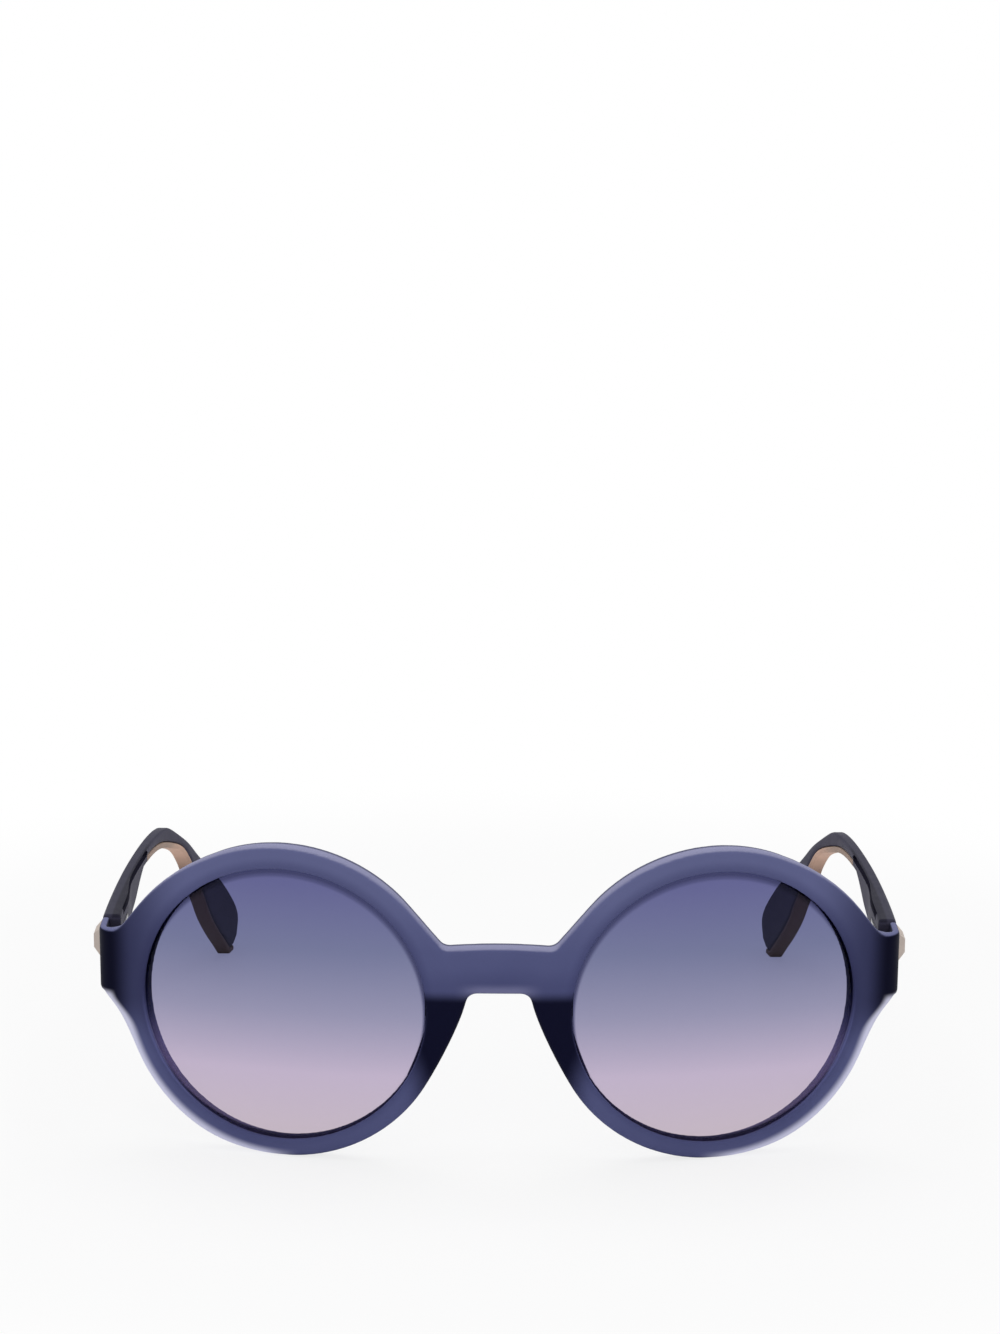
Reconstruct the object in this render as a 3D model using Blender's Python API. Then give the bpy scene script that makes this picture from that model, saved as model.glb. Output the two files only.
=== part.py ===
"""Round sunglasses: a moulded front, two tinted lenses and two temples that fold on screwed hinges.

Lengths are in metres. +Z is up, the front faces -Y and the temples run back towards +Y. The glasses
stand on the lowest points of the rims and on the ends of the temple tips, at z = 0. Left and right are
as seen from the front, so the left piece of each pair is at -X.

The front is drawn flat, as a sheet with s across it, z up it and w through it from the outer face,
and is then wrapped round its plan curve. The temples are drawn flat in side view and then bowed.
"""

from math import asin, atan, cos, hypot, pi, radians, sin, sqrt, tan

import bmesh
import bpy
from mathutils import Matrix, Vector

# Overall sizes of the front
front_thickness = 0.0039
front_plan_radius = 0.190
front_lean = radians(7)
corner_plan_radius = 0.0036
return_length = 0.0051
return_thickness = 0.0015
wall_blend_lead = 0.0012
wall_blend_length = 0.0045
edge_round = 0.0005

# Rims and lens openings
aperture_diameter = 0.0538
lens_gap = 0.0270
upper_rim_width = 0.0046
lower_rim_width = 0.0035
aperture_chamfer = 0.0003
rest_flat_angle = radians(6)
outer_swell = 0.0005
outer_swell_turn = radians(30)

# Bridge and nose arch, measured from the lens centre line
bridge_rise = 0.0127
bridge_crown = 0.0005
bridge_height = 0.0088
bridge_fillet = 0.0022
crown_shares = (0.12, 0.36, 0.60)
arch_width = 0.0112
arch_side_drop = 0.0023
arch_side_flare = 0.0006
arch_corner_radius = 0.0020
rim_to_bridge_angle = radians(140)
rim_to_arch_angle = radians(-150)
nose_low_angle = radians(-120)
arch_lower_handle_share = 0.32
arch_upper_handle_share = 0.24

# End pieces, measured from the lens centre line
end_reach = 0.0031
end_top_rise = 0.0118
end_height = 0.0126
end_corner_fillet = 0.0010
end_lower_run = 0.0023
rim_to_end_angle = radians(68)
end_to_rim_angle = radians(-22.5)
end_upper_rim_share = 0.64
end_upper_tip_share = 0.14
end_lower_tip_share = 0.25
end_lower_rim_share = 0.45
end_lower_dip_share = 0.75

# Moulded nose pads
pad_height = 0.0180
pad_top_rise = 0.0012
pad_depth = 0.0054
pad_lean = 0.0016
pad_width_share = 0.80
pad_root_share = 0.45
pad_fullness = 0.65

# Lenses
lens_thickness = 0.0020
lens_edge_height = 0.0006
lens_dome = 0.0005
lens_edge_gap = 0.0003
groove_gap = 0.0003

# Temples in side view, from the butt at the front to the tip
overall_depth = 0.1431
temple_root_thickness = 0.0034
temple_mid_thickness = 0.0022
temple_ear_thickness = 0.0030
temple_bow = 0.0142
thick_root_share = 0.10
slim_start_share = 0.24
ear_start_share = 0.42
ear_full_share = 0.70

# Each pair is a share of the run from butt to tip, and a share of the end piece's top height
top_edge_shares = (
    (0.143, 1.002),
    (0.294, 1.007),
    (0.412, 1.007),
    (0.479, 1.002),
    (0.525, 0.991),
    (0.563, 0.967),
    (0.630, 0.882),
    (0.691, 0.794),
    (0.756, 0.680),
    (0.828, 0.559),
    (0.900, 0.434),
    (0.958, 0.308),
    (0.990, 0.218),
    (1.000, 0.147),
    (0.990, 0.062),
)
arm_under_shares = (
    (0.029, 0.716),
    (0.109, 0.749),
    (0.193, 0.794),
    (0.261, 0.836),
    (0.294, 0.872),
    (0.324, 0.908),
    (0.353, 0.936),
)
ear_under_shares = (
    (0.387, 0.936),
    (0.445, 0.929),
    (0.504, 0.910),
    (0.571, 0.860),
    (0.641, 0.787),
    (0.689, 0.692),
    (0.716, 0.616),
    (0.751, 0.509),
    (0.787, 0.403),
    (0.824, 0.287),
    (0.871, 0.171),
    (0.916, 0.073),
)
toe_share = 0.9479
foot_share = 0.9698

# Tan strip under the ear end
strip_thickness = 0.0012
seat_gap = 0.0003

# Groove along the inner face of each temple
groove_width = 0.0013
groove_depth = 0.0008
groove_drop = 0.0007
groove_start_share = 0.04
groove_end_share = 0.355

# Plaques on the outer side of the temples
plaque_length = 0.0080
plaque_height = 0.0058
plaque_proud = 0.0022
plaque_sunk = 0.0006
plaque_chamfer = 0.0016
plaque_setback = 0.0030

# Hinges
hinge_height = 0.0084
middle_knuckle_height = 0.0027
knuckle_radius = 0.0014
knuckle_gap = 0.00015
axis_inset = 0.00175
leaf_thickness = 0.0010
leaf_sunk = 0.0007
front_leaf_width = 0.0042
front_leaf_setback = 0.0030
front_arm_width = 0.0017
temple_leaf_length = 0.0095
temple_leaf_height = 0.0068
temple_leaf_setback = 0.0019
pin_radius = 0.0006
pin_clearance = 0.00015
pin_head_radius = 0.0012
pin_head_height = 0.0006

# Screws that hold the hinge leaves
leaf_screw_head_radius = 0.00075
leaf_screw_shank_radius = 0.00045
leaf_screw_length = 0.0021
leaf_screw_gap = 0.00015
front_screw_spacing = 0.0046
front_screw_setback = 0.0031
temple_screw_spacing = 0.0040
temple_screw_setback = 0.0035

# One overrun serves every cut
overrun = 0.0010
weld_distance = 0.000002

# Fineness of the facets
arc_step = radians(6)
sharp_angle = radians(35)
blend_steps = 6
path_steps = 2
corner_steps = 4
front_slices = 18
corner_slices = 5
return_slices = 2
temple_slices = 13
lens_segments = 48
lens_rings = 3
round_segments = 14
pad_sections = 9
pad_section_points = 8

# Sizes that follow from those above
aperture_radius = aperture_diameter / 2
rim_radius = (upper_rim_width + aperture_diameter + lower_rim_width) / 2
half_spacing = (aperture_diameter + lens_gap) / 2
half_width = half_spacing + rim_radius + end_reach
rim_centre_z = rim_radius * cos(rest_flat_angle / 2)
lens_centre_z = lower_rim_width + aperture_radius
end_top_z = lens_centre_z + end_top_rise
end_bottom_z = end_top_z - end_height
hinge_z = end_top_z - end_height / 2
bridge_top_z = lens_centre_z + bridge_rise
arch_top_z = bridge_top_z - bridge_height

corner_start_angle = asin((half_width - corner_plan_radius) / (front_plan_radius - corner_plan_radius))
corner_start_s = front_plan_radius * corner_start_angle
corner_length = corner_plan_radius * (pi / 2 - corner_start_angle)
corner_end_s = corner_start_s + corner_length
corner_centre_x = (front_plan_radius - corner_plan_radius) * sin(corner_start_angle)
corner_centre_y = front_plan_radius - (front_plan_radius - corner_plan_radius) * cos(corner_start_angle)
front_end_s = corner_end_s + return_length
return_end_y = corner_centre_y + return_length
butt_y = return_end_y + seat_gap
inner_face_x = half_width - temple_root_thickness
axis_x = inner_face_x - axis_inset
axis_y = return_end_y


def rim_lead(turn):
    """How far the leaned rim stands in front of the bridge's plan at an angle round it."""
    reach = rim_radius - edge_round
    s = half_spacing + reach * cos(turn)
    z = rim_centre_z + reach * sin(turn)
    return (z - hinge_z) * tan(front_lean) - front_plan_radius * (1 - cos(s / front_plan_radius))


front_lead = max(rim_lead(radians(turn)) for turn in range(90, 180))
tip_y = overall_depth - front_lead
middle_y = tip_y - overall_depth / 2
temple_run = tip_y - butt_y


# Outline helpers


def arc(centre, radius, start, end):
    """Points along an arc, both ends included, about one arc_step apart."""
    steps = max(1, round(abs(end - start) / arc_step))
    angles = [start + (end - start) * i / steps for i in range(steps + 1)]
    return [(centre[0] + radius * cos(a), centre[1] + radius * sin(a)) for a in angles]


def blend(start, start_handle, end_handle, end):
    """Points strictly between the two ends of a cubic curve."""
    points = []
    for i in range(1, blend_steps):
        t = i / blend_steps
        weights = ((1 - t) ** 3, 3 * t * (1 - t) ** 2, 3 * t * t * (1 - t), t**3)
        corners = (start, start_handle, end_handle, end)
        points.append(tuple(sum(w * c[k] for w, c in zip(weights, corners)) for k in (0, 1)))
    return points


def fillet(before, corner, after, radius):
    """Points of the arc that rounds a corner between two straight runs."""
    to_before = (Vector(before) - Vector(corner)).normalized()
    to_after = (Vector(after) - Vector(corner)).normalized()
    half_turn = to_before.angle(to_after) / 2
    centre = Vector(corner) + (to_before + to_after).normalized() * (radius / sin(half_turn))
    reach = radius / (sin(half_turn) / cos(half_turn))
    first = Vector(corner) + to_before * reach - centre
    last = Vector(corner) + to_after * reach - centre
    points = []
    for i in range(corner_steps + 1):
        spoke = first.lerp(last, i / corner_steps)
        point = centre + spoke.normalized() * radius
        points.append((point.x, point.y))
    return points


def circle(centre, radius, segments):
    """A closed ring of points."""
    turns = [2 * pi * i / segments for i in range(segments)]
    return [(centre[0] + radius * cos(a), centre[1] + radius * sin(a)) for a in turns]


def smooth_path(points):
    """A Catmull-Rom curve through the points, with the first and last kept as they are."""
    path = [points[0]]
    for i in range(len(points) - 1):
        p0 = points[max(i - 1, 0)]
        p1 = points[i]
        p2 = points[i + 1]
        p3 = points[min(i + 2, len(points) - 1)]
        for step in range(1, path_steps + 1):
            t = step / path_steps
            path.append(
                tuple(
                    (
                        2 * p1[k]
                        + (p2[k] - p0[k]) * t
                        + (2 * p0[k] - 5 * p1[k] + 4 * p2[k] - p3[k]) * t**2
                        + (3 * p1[k] - p0[k] - 3 * p2[k] + p3[k]) * t**3
                    )
                    / 2
                    for k in (0, 1)
                )
            )
    return path


def offset_path(points, distance):
    """The path moved to its left by the distance, with each corner mitred."""
    runs = [(Vector(b) - Vector(a)).normalized() for a, b in zip(points, points[1:])]
    lefts = [Vector((-run.y, run.x)) for run in runs]
    moved = []
    for i, point in enumerate(points):
        left = lefts[min(i, len(lefts) - 1)]
        middle = (lefts[max(i - 1, 0)] + left).normalized()
        place = Vector(point) + middle * (distance / middle.dot(left))
        moved.append((place.x, place.y))
    return moved


def hull(points):
    """The convex outline round a set of points."""
    ordered = sorted(set(points))
    halves = []
    for sequence in (ordered, ordered[::-1]):
        chain = []
        for p in sequence:
            while len(chain) > 1:
                a = chain[-2]
                b = chain[-1]
                if (b[0] - a[0]) * (p[1] - a[1]) - (b[1] - a[1]) * (p[0] - a[0]) > 0:
                    break
                chain.pop()
            chain.append(p)
        halves += chain[:-1]
    return halves


def ease(share):
    """A smooth step from 0 to 1."""
    t = min(max(share, 0), 1)
    return t * t * (3 - 2 * t)


def spread(start, end, count):
    """Places at equal steps from start to end, both included."""
    return [start + (end - start) * i / count for i in range(count + 1)]


# Mesh helpers


def tidy_mesh(mesh):
    """Welds seams, drops flat faces and turns every face outwards."""
    bm = bmesh.new()
    bm.from_mesh(mesh)
    bmesh.ops.remove_doubles(bm, verts=bm.verts, dist=weld_distance)
    bmesh.ops.dissolve_degenerate(bm, edges=bm.edges, dist=weld_distance)
    bmesh.ops.recalc_face_normals(bm, faces=bm.faces)
    bm.to_mesh(mesh)
    bm.free()
    return mesh


def evaluated_mesh(obj):
    """A copy of the object's mesh with its modifiers or bevel applied. The object is removed."""
    bpy.context.view_layer.update()
    graph = bpy.context.evaluated_depsgraph_get()
    mesh = bpy.data.meshes.new_from_object(obj.evaluated_get(graph))
    bpy.data.objects.remove(obj)
    return mesh


def sheet(loops, thickness, rounding):
    """A flat plate from closed outlines, lying from local z = 0 to its thickness, edges rounded."""
    curve = bpy.data.curves.new("outline", "CURVE")
    curve.dimensions = "2D"
    curve.fill_mode = "BOTH"
    curve.extrude = thickness / 2 - rounding
    curve.bevel_depth = rounding
    curve.bevel_resolution = 1
    curve.offset = -rounding
    for loop in loops:
        spline = curve.splines.new("POLY")
        spline.points.add(len(loop) - 1)
        for point, place in zip(spline.points, loop):
            point.co = (place[0], place[1], 0, 1)
        spline.use_cyclic_u = True
    obj = bpy.data.objects.new("outline", curve)
    bpy.context.collection.objects.link(obj)
    mesh = tidy_mesh(evaluated_mesh(obj))
    mesh.transform(Matrix.Translation((0, 0, thickness / 2)))
    return mesh


def slice_mesh(mesh, axis, places):
    """Adds edges where planes square to the axis cross the mesh, so that it can be bent."""
    bm = bmesh.new()
    bm.from_mesh(mesh)
    for place in places:
        point = [0, 0, 0]
        point[axis] = place
        normal = [0, 0, 0]
        normal[axis] = 1
        parts = bm.verts[:] + bm.edges[:] + bm.faces[:]
        bmesh.ops.bisect_plane(bm, geom=parts, dist=weld_distance, plane_co=point, plane_no=normal)
    bmesh.ops.triangulate(bm, faces=bm.faces)
    bm.to_mesh(mesh)
    bm.free()
    return mesh


def reshape(mesh, rule):
    """Moves every point of the mesh by a rule from its flat place to its real one."""
    for vertex in mesh.vertices:
        vertex.co = rule(*vertex.co)
    return tidy_mesh(mesh)


def turned(profile, segments):
    """A closed solid turned about local z from (radius, height) points, the first and last on the axis."""
    bm = bmesh.new()
    verts = [bm.verts.new((radius, 0, height)) for radius, height in profile]
    edges = [bm.edges.new(pair) for pair in zip(verts, verts[1:])]
    parts = verts + edges
    bmesh.ops.spin(bm, geom=parts, cent=(0, 0, 0), axis=(0, 0, 1), angle=2 * pi, steps=segments)
    mesh = bpy.data.meshes.new("turned")
    bm.to_mesh(mesh)
    bm.free()
    return tidy_mesh(mesh)


def box(low, high):
    """A block between two corners."""
    bm = bmesh.new()
    bmesh.ops.create_cube(bm, size=1)
    size = Vector(high) - Vector(low)
    middle = (Vector(high) + Vector(low)) / 2
    bmesh.ops.transform(bm, matrix=Matrix.Translation(middle) @ Matrix.Diagonal((*size, 1)), verts=bm.verts)
    mesh = bpy.data.meshes.new("block")
    bm.to_mesh(mesh)
    bm.free()
    return tidy_mesh(mesh)


def loft(sections):
    """A closed solid through a row of rings that have the same number of points."""
    bm = bmesh.new()
    rings = [[bm.verts.new(place) for place in section] for section in sections]
    count = len(rings[0])
    for near, far in zip(rings, rings[1:]):
        for i in range(count):
            j = (i + 1) % count
            bm.faces.new((near[i], near[j], far[j], far[i]))
    bm.faces.new(rings[0][::-1])
    bm.faces.new(rings[-1])
    bmesh.ops.triangulate(bm, faces=bm.faces)
    mesh = bpy.data.meshes.new("loft")
    bm.to_mesh(mesh)
    bm.free()
    return tidy_mesh(mesh)


def combined(mesh, tool, operation):
    """The mesh joined with, or cut by, a closed tool."""
    obj = bpy.data.objects.new("body", mesh)
    other = bpy.data.objects.new("tool", tool)
    bpy.context.collection.objects.link(obj)
    bpy.context.collection.objects.link(other)
    modifier = obj.modifiers.new("combine", "BOOLEAN")
    modifier.operation = operation
    modifier.object = other
    result = evaluated_mesh(obj)
    bpy.data.objects.remove(other)
    return tidy_mesh(result)


def placed(mesh, matrix):
    """A copy of the mesh moved by a matrix."""
    copy = mesh.copy()
    copy.transform(matrix)
    return tidy_mesh(copy)


def material(name, colour, roughness, metallic=0.0, alpha=1.0):
    """A plain finish with the part's colour."""
    finish = bpy.data.materials.new(name)
    finish.use_nodes = True
    surface = finish.node_tree.nodes["Principled BSDF"]
    surface.inputs["Base Color"].default_value = (*colour, 1)
    surface.inputs["Roughness"].default_value = roughness
    surface.inputs["Metallic"].default_value = metallic
    surface.inputs["Alpha"].default_value = alpha
    finish.diffuse_color = (*colour, alpha)
    return finish


def add_piece(name, mesh, finish, pivot=None):
    """Names the piece and sets its finish. A moving piece hangs on the empty at its hinge axis."""
    obj = bpy.data.objects.new(name, mesh)
    mesh.name = name
    mesh.materials.clear()
    mesh.materials.append(finish)
    bpy.context.collection.objects.link(obj)
    if pivot is not None:
        mesh.transform(Matrix.Translation(-pivot.location))
        obj.parent = pivot
    mesh.shade_smooth()
    mesh.set_sharp_from_angle(angle=sharp_angle)
    return obj


# The plan curve of the front


def front_point(s, w, z):
    """Wraps a place on the flat sheet round the plan curve and its corners, and leans it forward."""
    side = 1 if s >= 0 else -1
    run = abs(s)
    if run <= corner_start_s:
        angle = run / front_plan_radius
        x = front_plan_radius * sin(angle)
        y = front_plan_radius * (1 - cos(angle))
    elif run <= corner_end_s:
        angle = corner_start_angle + (run - corner_start_s) / corner_plan_radius
        x = corner_centre_x + corner_plan_radius * sin(angle)
        y = corner_centre_y - corner_plan_radius * cos(angle)
    else:
        angle = pi / 2
        x = half_width
        y = corner_centre_y + run - corner_end_s
    thinned = ease((run - corner_start_s + wall_blend_lead) / wall_blend_length)
    thinning = 1 + (return_thickness / front_thickness - 1) * thinned
    depth = w * thinning
    upright = ease((run - corner_start_s) / (front_end_s - corner_start_s))
    leaned = (z - hinge_z) * tan(front_lean) * (1 - upright)
    return Vector((side * (x - depth * sin(angle)), y + depth * cos(angle) - leaned - middle_y, z))


def front_angle(s):
    """The slope of the front's plan curve away from its corners."""
    return s / front_plan_radius


# The front


def bridge_outline():
    """Right half of the bridge's top edge, from the middle out to the rim."""
    angle = rim_to_bridge_angle
    touch = (half_spacing + rim_radius * cos(angle), rim_centre_z + rim_radius * sin(angle))
    slope = (sin(angle), -cos(angle))
    drop = touch[1] - bridge_top_z
    corner = (touch[0] - slope[0] * drop / slope[1], bridge_top_z)
    crown = [(corner[0] * share, bridge_top_z + bridge_crown * (1 - share**2)) for share in crown_shares]
    return crown + fillet(crown[-1], corner, touch, bridge_fillet)


def upper_end_outline():
    """From the top of the rim down to the end piece's top edge."""
    angle = rim_to_end_angle
    start = (half_spacing + rim_radius * cos(angle), rim_centre_z + rim_radius * sin(angle))
    end = (corner_start_s, end_top_z)
    reach = hypot(end[0] - start[0], end[1] - start[1])
    first = reach * end_upper_rim_share
    last = reach * end_upper_tip_share
    start_handle = (start[0] + first * sin(angle), start[1] - first * cos(angle))
    end_handle = (end[0] - last, end[1])
    return blend(start, start_handle, end_handle, end) + [end]


def return_outline():
    """Round the rear end of the part that wraps back to the hinge."""
    top = (front_end_s, end_top_z)
    bottom = (front_end_s, end_bottom_z)
    upper = fillet((corner_start_s, end_top_z), top, bottom, end_corner_fillet)
    lower = fillet(top, bottom, (corner_start_s, end_bottom_z), end_corner_fillet)
    return upper + lower


def lower_end_outline():
    """From the end piece's lower edge down to the rim."""
    angle = end_to_rim_angle
    start = (corner_start_s + end_lower_run, end_bottom_z)
    end = lower_rim_outline()[0]
    reach = hypot(end[0] - start[0], end[1] - start[1])
    first = reach * end_lower_tip_share
    last = reach * end_lower_rim_share
    start_handle = (start[0] - first, start[1] - first * end_lower_dip_share)
    end_handle = (end[0] - last * sin(angle), end[1] + last * cos(angle))
    return [start] + blend(start, start_handle, end_handle, end)


def lower_rim_outline():
    """Down the outer side of the rim, a little wider than its circle, into the flat it stands on."""
    bottom = -pi / 2 + rest_flat_angle / 2
    steps = round((end_to_rim_angle - bottom) / arc_step)
    points = []
    for angle in spread(end_to_rim_angle, bottom, steps):
        reach = rim_radius + outer_swell * ease((angle - bottom) / outer_swell_turn)
        points.append((half_spacing + reach * cos(angle), rim_centre_z + reach * sin(angle)))
    return points


def arch_outline():
    """Right half of the nose arch, from the rim up to the middle."""
    angle = rim_to_arch_angle
    start = (half_spacing + rim_radius * cos(angle), rim_centre_z + rim_radius * sin(angle))
    corner = (arch_width / 2, arch_top_z)
    end = (corner[0] + arch_side_flare, corner[1] - arch_side_drop)
    reach = hypot(end[0] - start[0], end[1] - start[1])
    first = reach * arch_lower_handle_share
    last = reach * arch_upper_handle_share
    side = (Vector(end) - Vector(corner)).normalized()
    start_handle = (start[0] + first * sin(angle), start[1] - first * cos(angle))
    end_handle = (end[0] + last * side.x, end[1] + last * side.y)
    inner_corner = fillet(end, corner, (0, arch_top_z), arch_corner_radius)
    return blend(start, start_handle, end_handle, end) + inner_corner


def nose_edge(z):
    """How far the nose side of the rim stands from the middle at a height."""
    side = arc((half_spacing, rim_centre_z), rim_radius, nose_low_angle, rim_to_arch_angle) + arch_outline()
    for low, high in zip(side, side[1:]):
        if low[1] <= z <= high[1]:
            return low[0] + (high[0] - low[0]) * (z - low[1]) / (high[1] - low[1])
    return side[-1][0]


def front_outline():
    """The whole closed outline of the flat front."""
    centre = (half_spacing, rim_centre_z)
    half = bridge_outline()
    half += arc(centre, rim_radius, rim_to_bridge_angle, rim_to_end_angle)
    half += upper_end_outline()
    half += return_outline()
    half += lower_end_outline()
    half += lower_rim_outline()
    half += arc(centre, rim_radius, -pi / 2 - rest_flat_angle / 2, rim_to_arch_angle)
    half += arch_outline()
    return half + [(-x, z) for x, z in reversed(half)]


def nose_pad(side):
    """A moulded pad that stands out behind the rim and leans away from the nose."""
    pad_top_z = lens_centre_z + pad_top_rise
    root = front_thickness * pad_root_share
    sections = []
    for i in range(pad_sections + 1):
        share = i / pad_sections
        z = pad_top_z - pad_height * (1 - share)
        inner = nose_edge(z)
        outer = half_spacing - sqrt(aperture_radius**2 - (z - lens_centre_z) ** 2)
        swell = sin(pi * share) ** pad_fullness
        middle = (inner + outer) / 2
        half = (outer - inner) / 2 * pad_width_share
        rear = front_thickness * (1 - pad_root_share) * pad_width_share + pad_depth * swell
        ring = []
        for k in range(pad_section_points):
            turn = pi * k / (pad_section_points - 1)
            rise = sin(turn) ** pad_fullness
            s = middle + half * cos(turn) + pad_lean * swell * rise
            ring.append(front_point(side * s, root + rear * rise, z))
        sections.append(ring)
    return loft(sections)


def lens_centre(side):
    return side * half_spacing


def round_in_front(profile, side):
    """A solid turned about a lens centre from (radius, w) points, wrapped with the front."""
    mesh = turned(profile, lens_segments)
    return reshape(mesh, lambda a, b, w: front_point(lens_centre(side) + a, w, lens_centre_z + b))


def aperture_cutter(side):
    """The lens opening, with a groove for the lens edge and a small chamfer at both faces."""
    middle = front_thickness / 2
    groove = lens_thickness / 2 + groove_gap
    edge = aperture_radius
    chamfered = edge + aperture_chamfer
    profile = [
        (0, -overrun),
        (chamfered, -overrun),
        (chamfered, 0),
        (edge, aperture_chamfer),
        (edge, middle - groove),
        (edge + lens_edge_height + groove_gap, middle),
        (edge, middle + groove),
        (edge, front_thickness - aperture_chamfer),
        (chamfered, front_thickness),
        (chamfered, front_thickness + overrun),
        (0, front_thickness + overrun),
    ]
    return round_in_front(profile, side)


def lens(side):
    """A domed lens with a ridge round its edge."""
    middle = front_thickness / 2
    half = lens_thickness / 2
    edge = aperture_radius - lens_edge_gap
    shares = [i / lens_rings for i in range(lens_rings)]
    outer = [(edge * t, middle - half - lens_dome * (1 - t * t)) for t in shares]
    inner = [(edge * t, middle + half - lens_dome * (1 - t * t)) for t in reversed(shares)]
    ridge = [(edge, middle - half), (aperture_radius + lens_edge_height, middle), (edge, middle + half)]
    return round_in_front(outer + ridge + inner, side)


def front_leaf_frame(side):
    """Where the front leaf lies on the rear face: local x along it, local y out of it, local z up."""
    s = corner_start_s - front_leaf_setback
    angle = side * front_angle(s)
    centre = front_point(side * s, front_thickness, hinge_z)
    lean = atan(tan(front_lean) * cos(angle))
    return Matrix.Translation(centre) @ Matrix.Rotation(angle, 4, "Z") @ Matrix.Rotation(lean, 4, "X")


def front_leaf_block(side, grow):
    """The plate of the front leaf, or with grow the pocket that takes it."""
    half = front_leaf_width / 2 + grow
    proud = leaf_thickness - leaf_sunk if grow == 0 else overrun
    low = (-half, -leaf_sunk - grow, -hinge_height / 2 - grow)
    high = (half, proud, hinge_height / 2 + grow)
    return placed(box(low, high), front_leaf_frame(side))


def front_frame_mesh():
    """The moulded front: rims, bridge, nose pads and wrapped end pieces in one piece."""
    mesh = sheet([front_outline()], front_thickness, edge_round)
    places = spread(-corner_start_s, corner_start_s, front_slices)
    for side in (-1, 1):
        places += [side * s for s in spread(corner_start_s, corner_end_s, corner_slices)[1:]]
        places += [side * s for s in spread(corner_end_s, front_end_s, return_slices)[1:-1]]
    slice_mesh(mesh, 0, places)
    reshape(mesh, lambda s, z, w: front_point(s, w, z))
    for side in (-1, 1):
        mesh = combined(mesh, nose_pad(side), "UNION")
        mesh = combined(mesh, aperture_cutter(side), "DIFFERENCE")
        mesh = combined(mesh, front_leaf_block(side, seat_gap), "DIFFERENCE")
        for place in front_screw_places(side):
            mesh = combined(mesh, screw_hole(place), "DIFFERENCE")
    return mesh


# The temples, drawn flat in side view as (y, z) from the butt and bowed in plan


def side_points(shares):
    """Turns shares of the run and of the end piece's height into places."""
    return [(butt_y + temple_run * across, end_top_z * up) for across, up in shares]


def temple_outer_x(y):
    """How far the temple's outer face stands from the middle of the glasses."""
    share = (y - butt_y) / temple_run
    return half_width - temple_bow * max(share, 0) ** 2


def temple_thickness(y):
    """Thick at the hinge, slim along the arm and thicker again behind the ear."""
    share = (y - butt_y) / temple_run
    slim = ease((share - thick_root_share) / (slim_start_share - thick_root_share))
    full = ease((share - ear_start_share) / (ear_full_share - ear_start_share))
    arm = temple_root_thickness + (temple_mid_thickness - temple_root_thickness) * slim
    return arm + (temple_ear_thickness - temple_mid_thickness) * full


def temple_point(side, y, w, z):
    """Bows a place in the side view. w runs from 0 at the outer face to 1 at the inner face."""
    x = temple_outer_x(y) - w * temple_thickness(y)
    return Vector((side * x, y - middle_y, z))


def under_path():
    """The lower edge of the ear end, from the strip's front end to the foot of the tip."""
    ground = side_points([(toe_share, 0), (foot_share, 0)])
    return smooth_path(side_points(ear_under_shares)) + ground


def top_path():
    """The upper edge of the temple, from the butt round to the back of the tip."""
    start = (butt_y + end_corner_fillet, end_top_z)
    return smooth_path([start] + side_points(top_edge_shares))


def temple_outline():
    """The side view of the temple without its tan strip, clockwise from the butt."""
    upper = (butt_y, end_top_z)
    lower = (butt_y, end_bottom_z)
    top = top_path()
    arm = smooth_path([(butt_y + end_corner_fillet * 2, end_bottom_z)] + side_points(arm_under_shares))
    step = (under_path()[0][0] - seat_gap, under_path()[0][1])
    above_strip = offset_path(under_path(), strip_thickness + seat_gap)
    seat = [(step[0], above_strip[0][1])] + above_strip[1:]
    outline = fillet(lower, upper, top[1], end_corner_fillet)
    outline += top[1:]
    outline += seat[::-1]
    outline += [step]
    outline += arm[::-1][:-1]
    outline += fillet(arm[1], lower, upper, end_corner_fillet)
    return outline


def strip_outline():
    """The tan strip: the ear end's lower edge and a line inside it."""
    lower = under_path()
    upper = offset_path(lower, strip_thickness)
    return lower + upper[::-1]


def bowed(outline, side):
    """A plate cut to a side outline, one unit through, bowed and thinned as the temple is."""
    mesh = sheet([outline], temple_ear_thickness, edge_round)
    slice_mesh(mesh, 0, spread(butt_y, tip_y, temple_slices)[1:-1])
    return reshape(mesh, lambda y, z, d: temple_point(side, y, 1 - d / temple_ear_thickness, z))


def groove_cutter(side):
    """A long shallow slot under the top edge of the inner face, round at its rear end."""
    start = butt_y + temple_run * groove_start_share
    end = butt_y + temple_run * groove_end_share
    top = [p for p in top_path() if start <= p[0] <= end]
    upper = [(y, z - groove_drop) for y, z in top]
    lower = [(y, z - groove_drop - groove_width) for y, z in top]
    nose = (end + groove_width / 2, (upper[-1][1] + lower[-1][1]) / 2)
    mesh = sheet([upper + [nose] + lower[::-1]], temple_ear_thickness, 0)
    slice_mesh(mesh, 0, spread(butt_y, tip_y, temple_slices)[1:-1])

    def place(y, z, d):
        share = d / temple_ear_thickness
        floor = 1 - groove_depth / temple_thickness(y)
        beyond = 1 + overrun / temple_thickness(y)
        return temple_point(side, y, floor + (beyond - floor) * share, z)

    return reshape(mesh, place)


def temple_leaf_block(side, grow):
    """The plate of the temple leaf, or with grow the pocket that takes it and runs out at the butt."""
    start = axis_y + temple_leaf_setback
    proud = leaf_thickness - leaf_sunk if grow == 0 else overrun
    near = start if grow == 0 else butt_y - overrun
    low = (inner_face_x - proud, near, hinge_z - temple_leaf_height / 2 - grow)
    far = start + temple_leaf_length + grow
    high = (inner_face_x + leaf_sunk + grow, far, hinge_z + temple_leaf_height / 2 + grow)
    return on_side(box(low, high), side)


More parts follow.
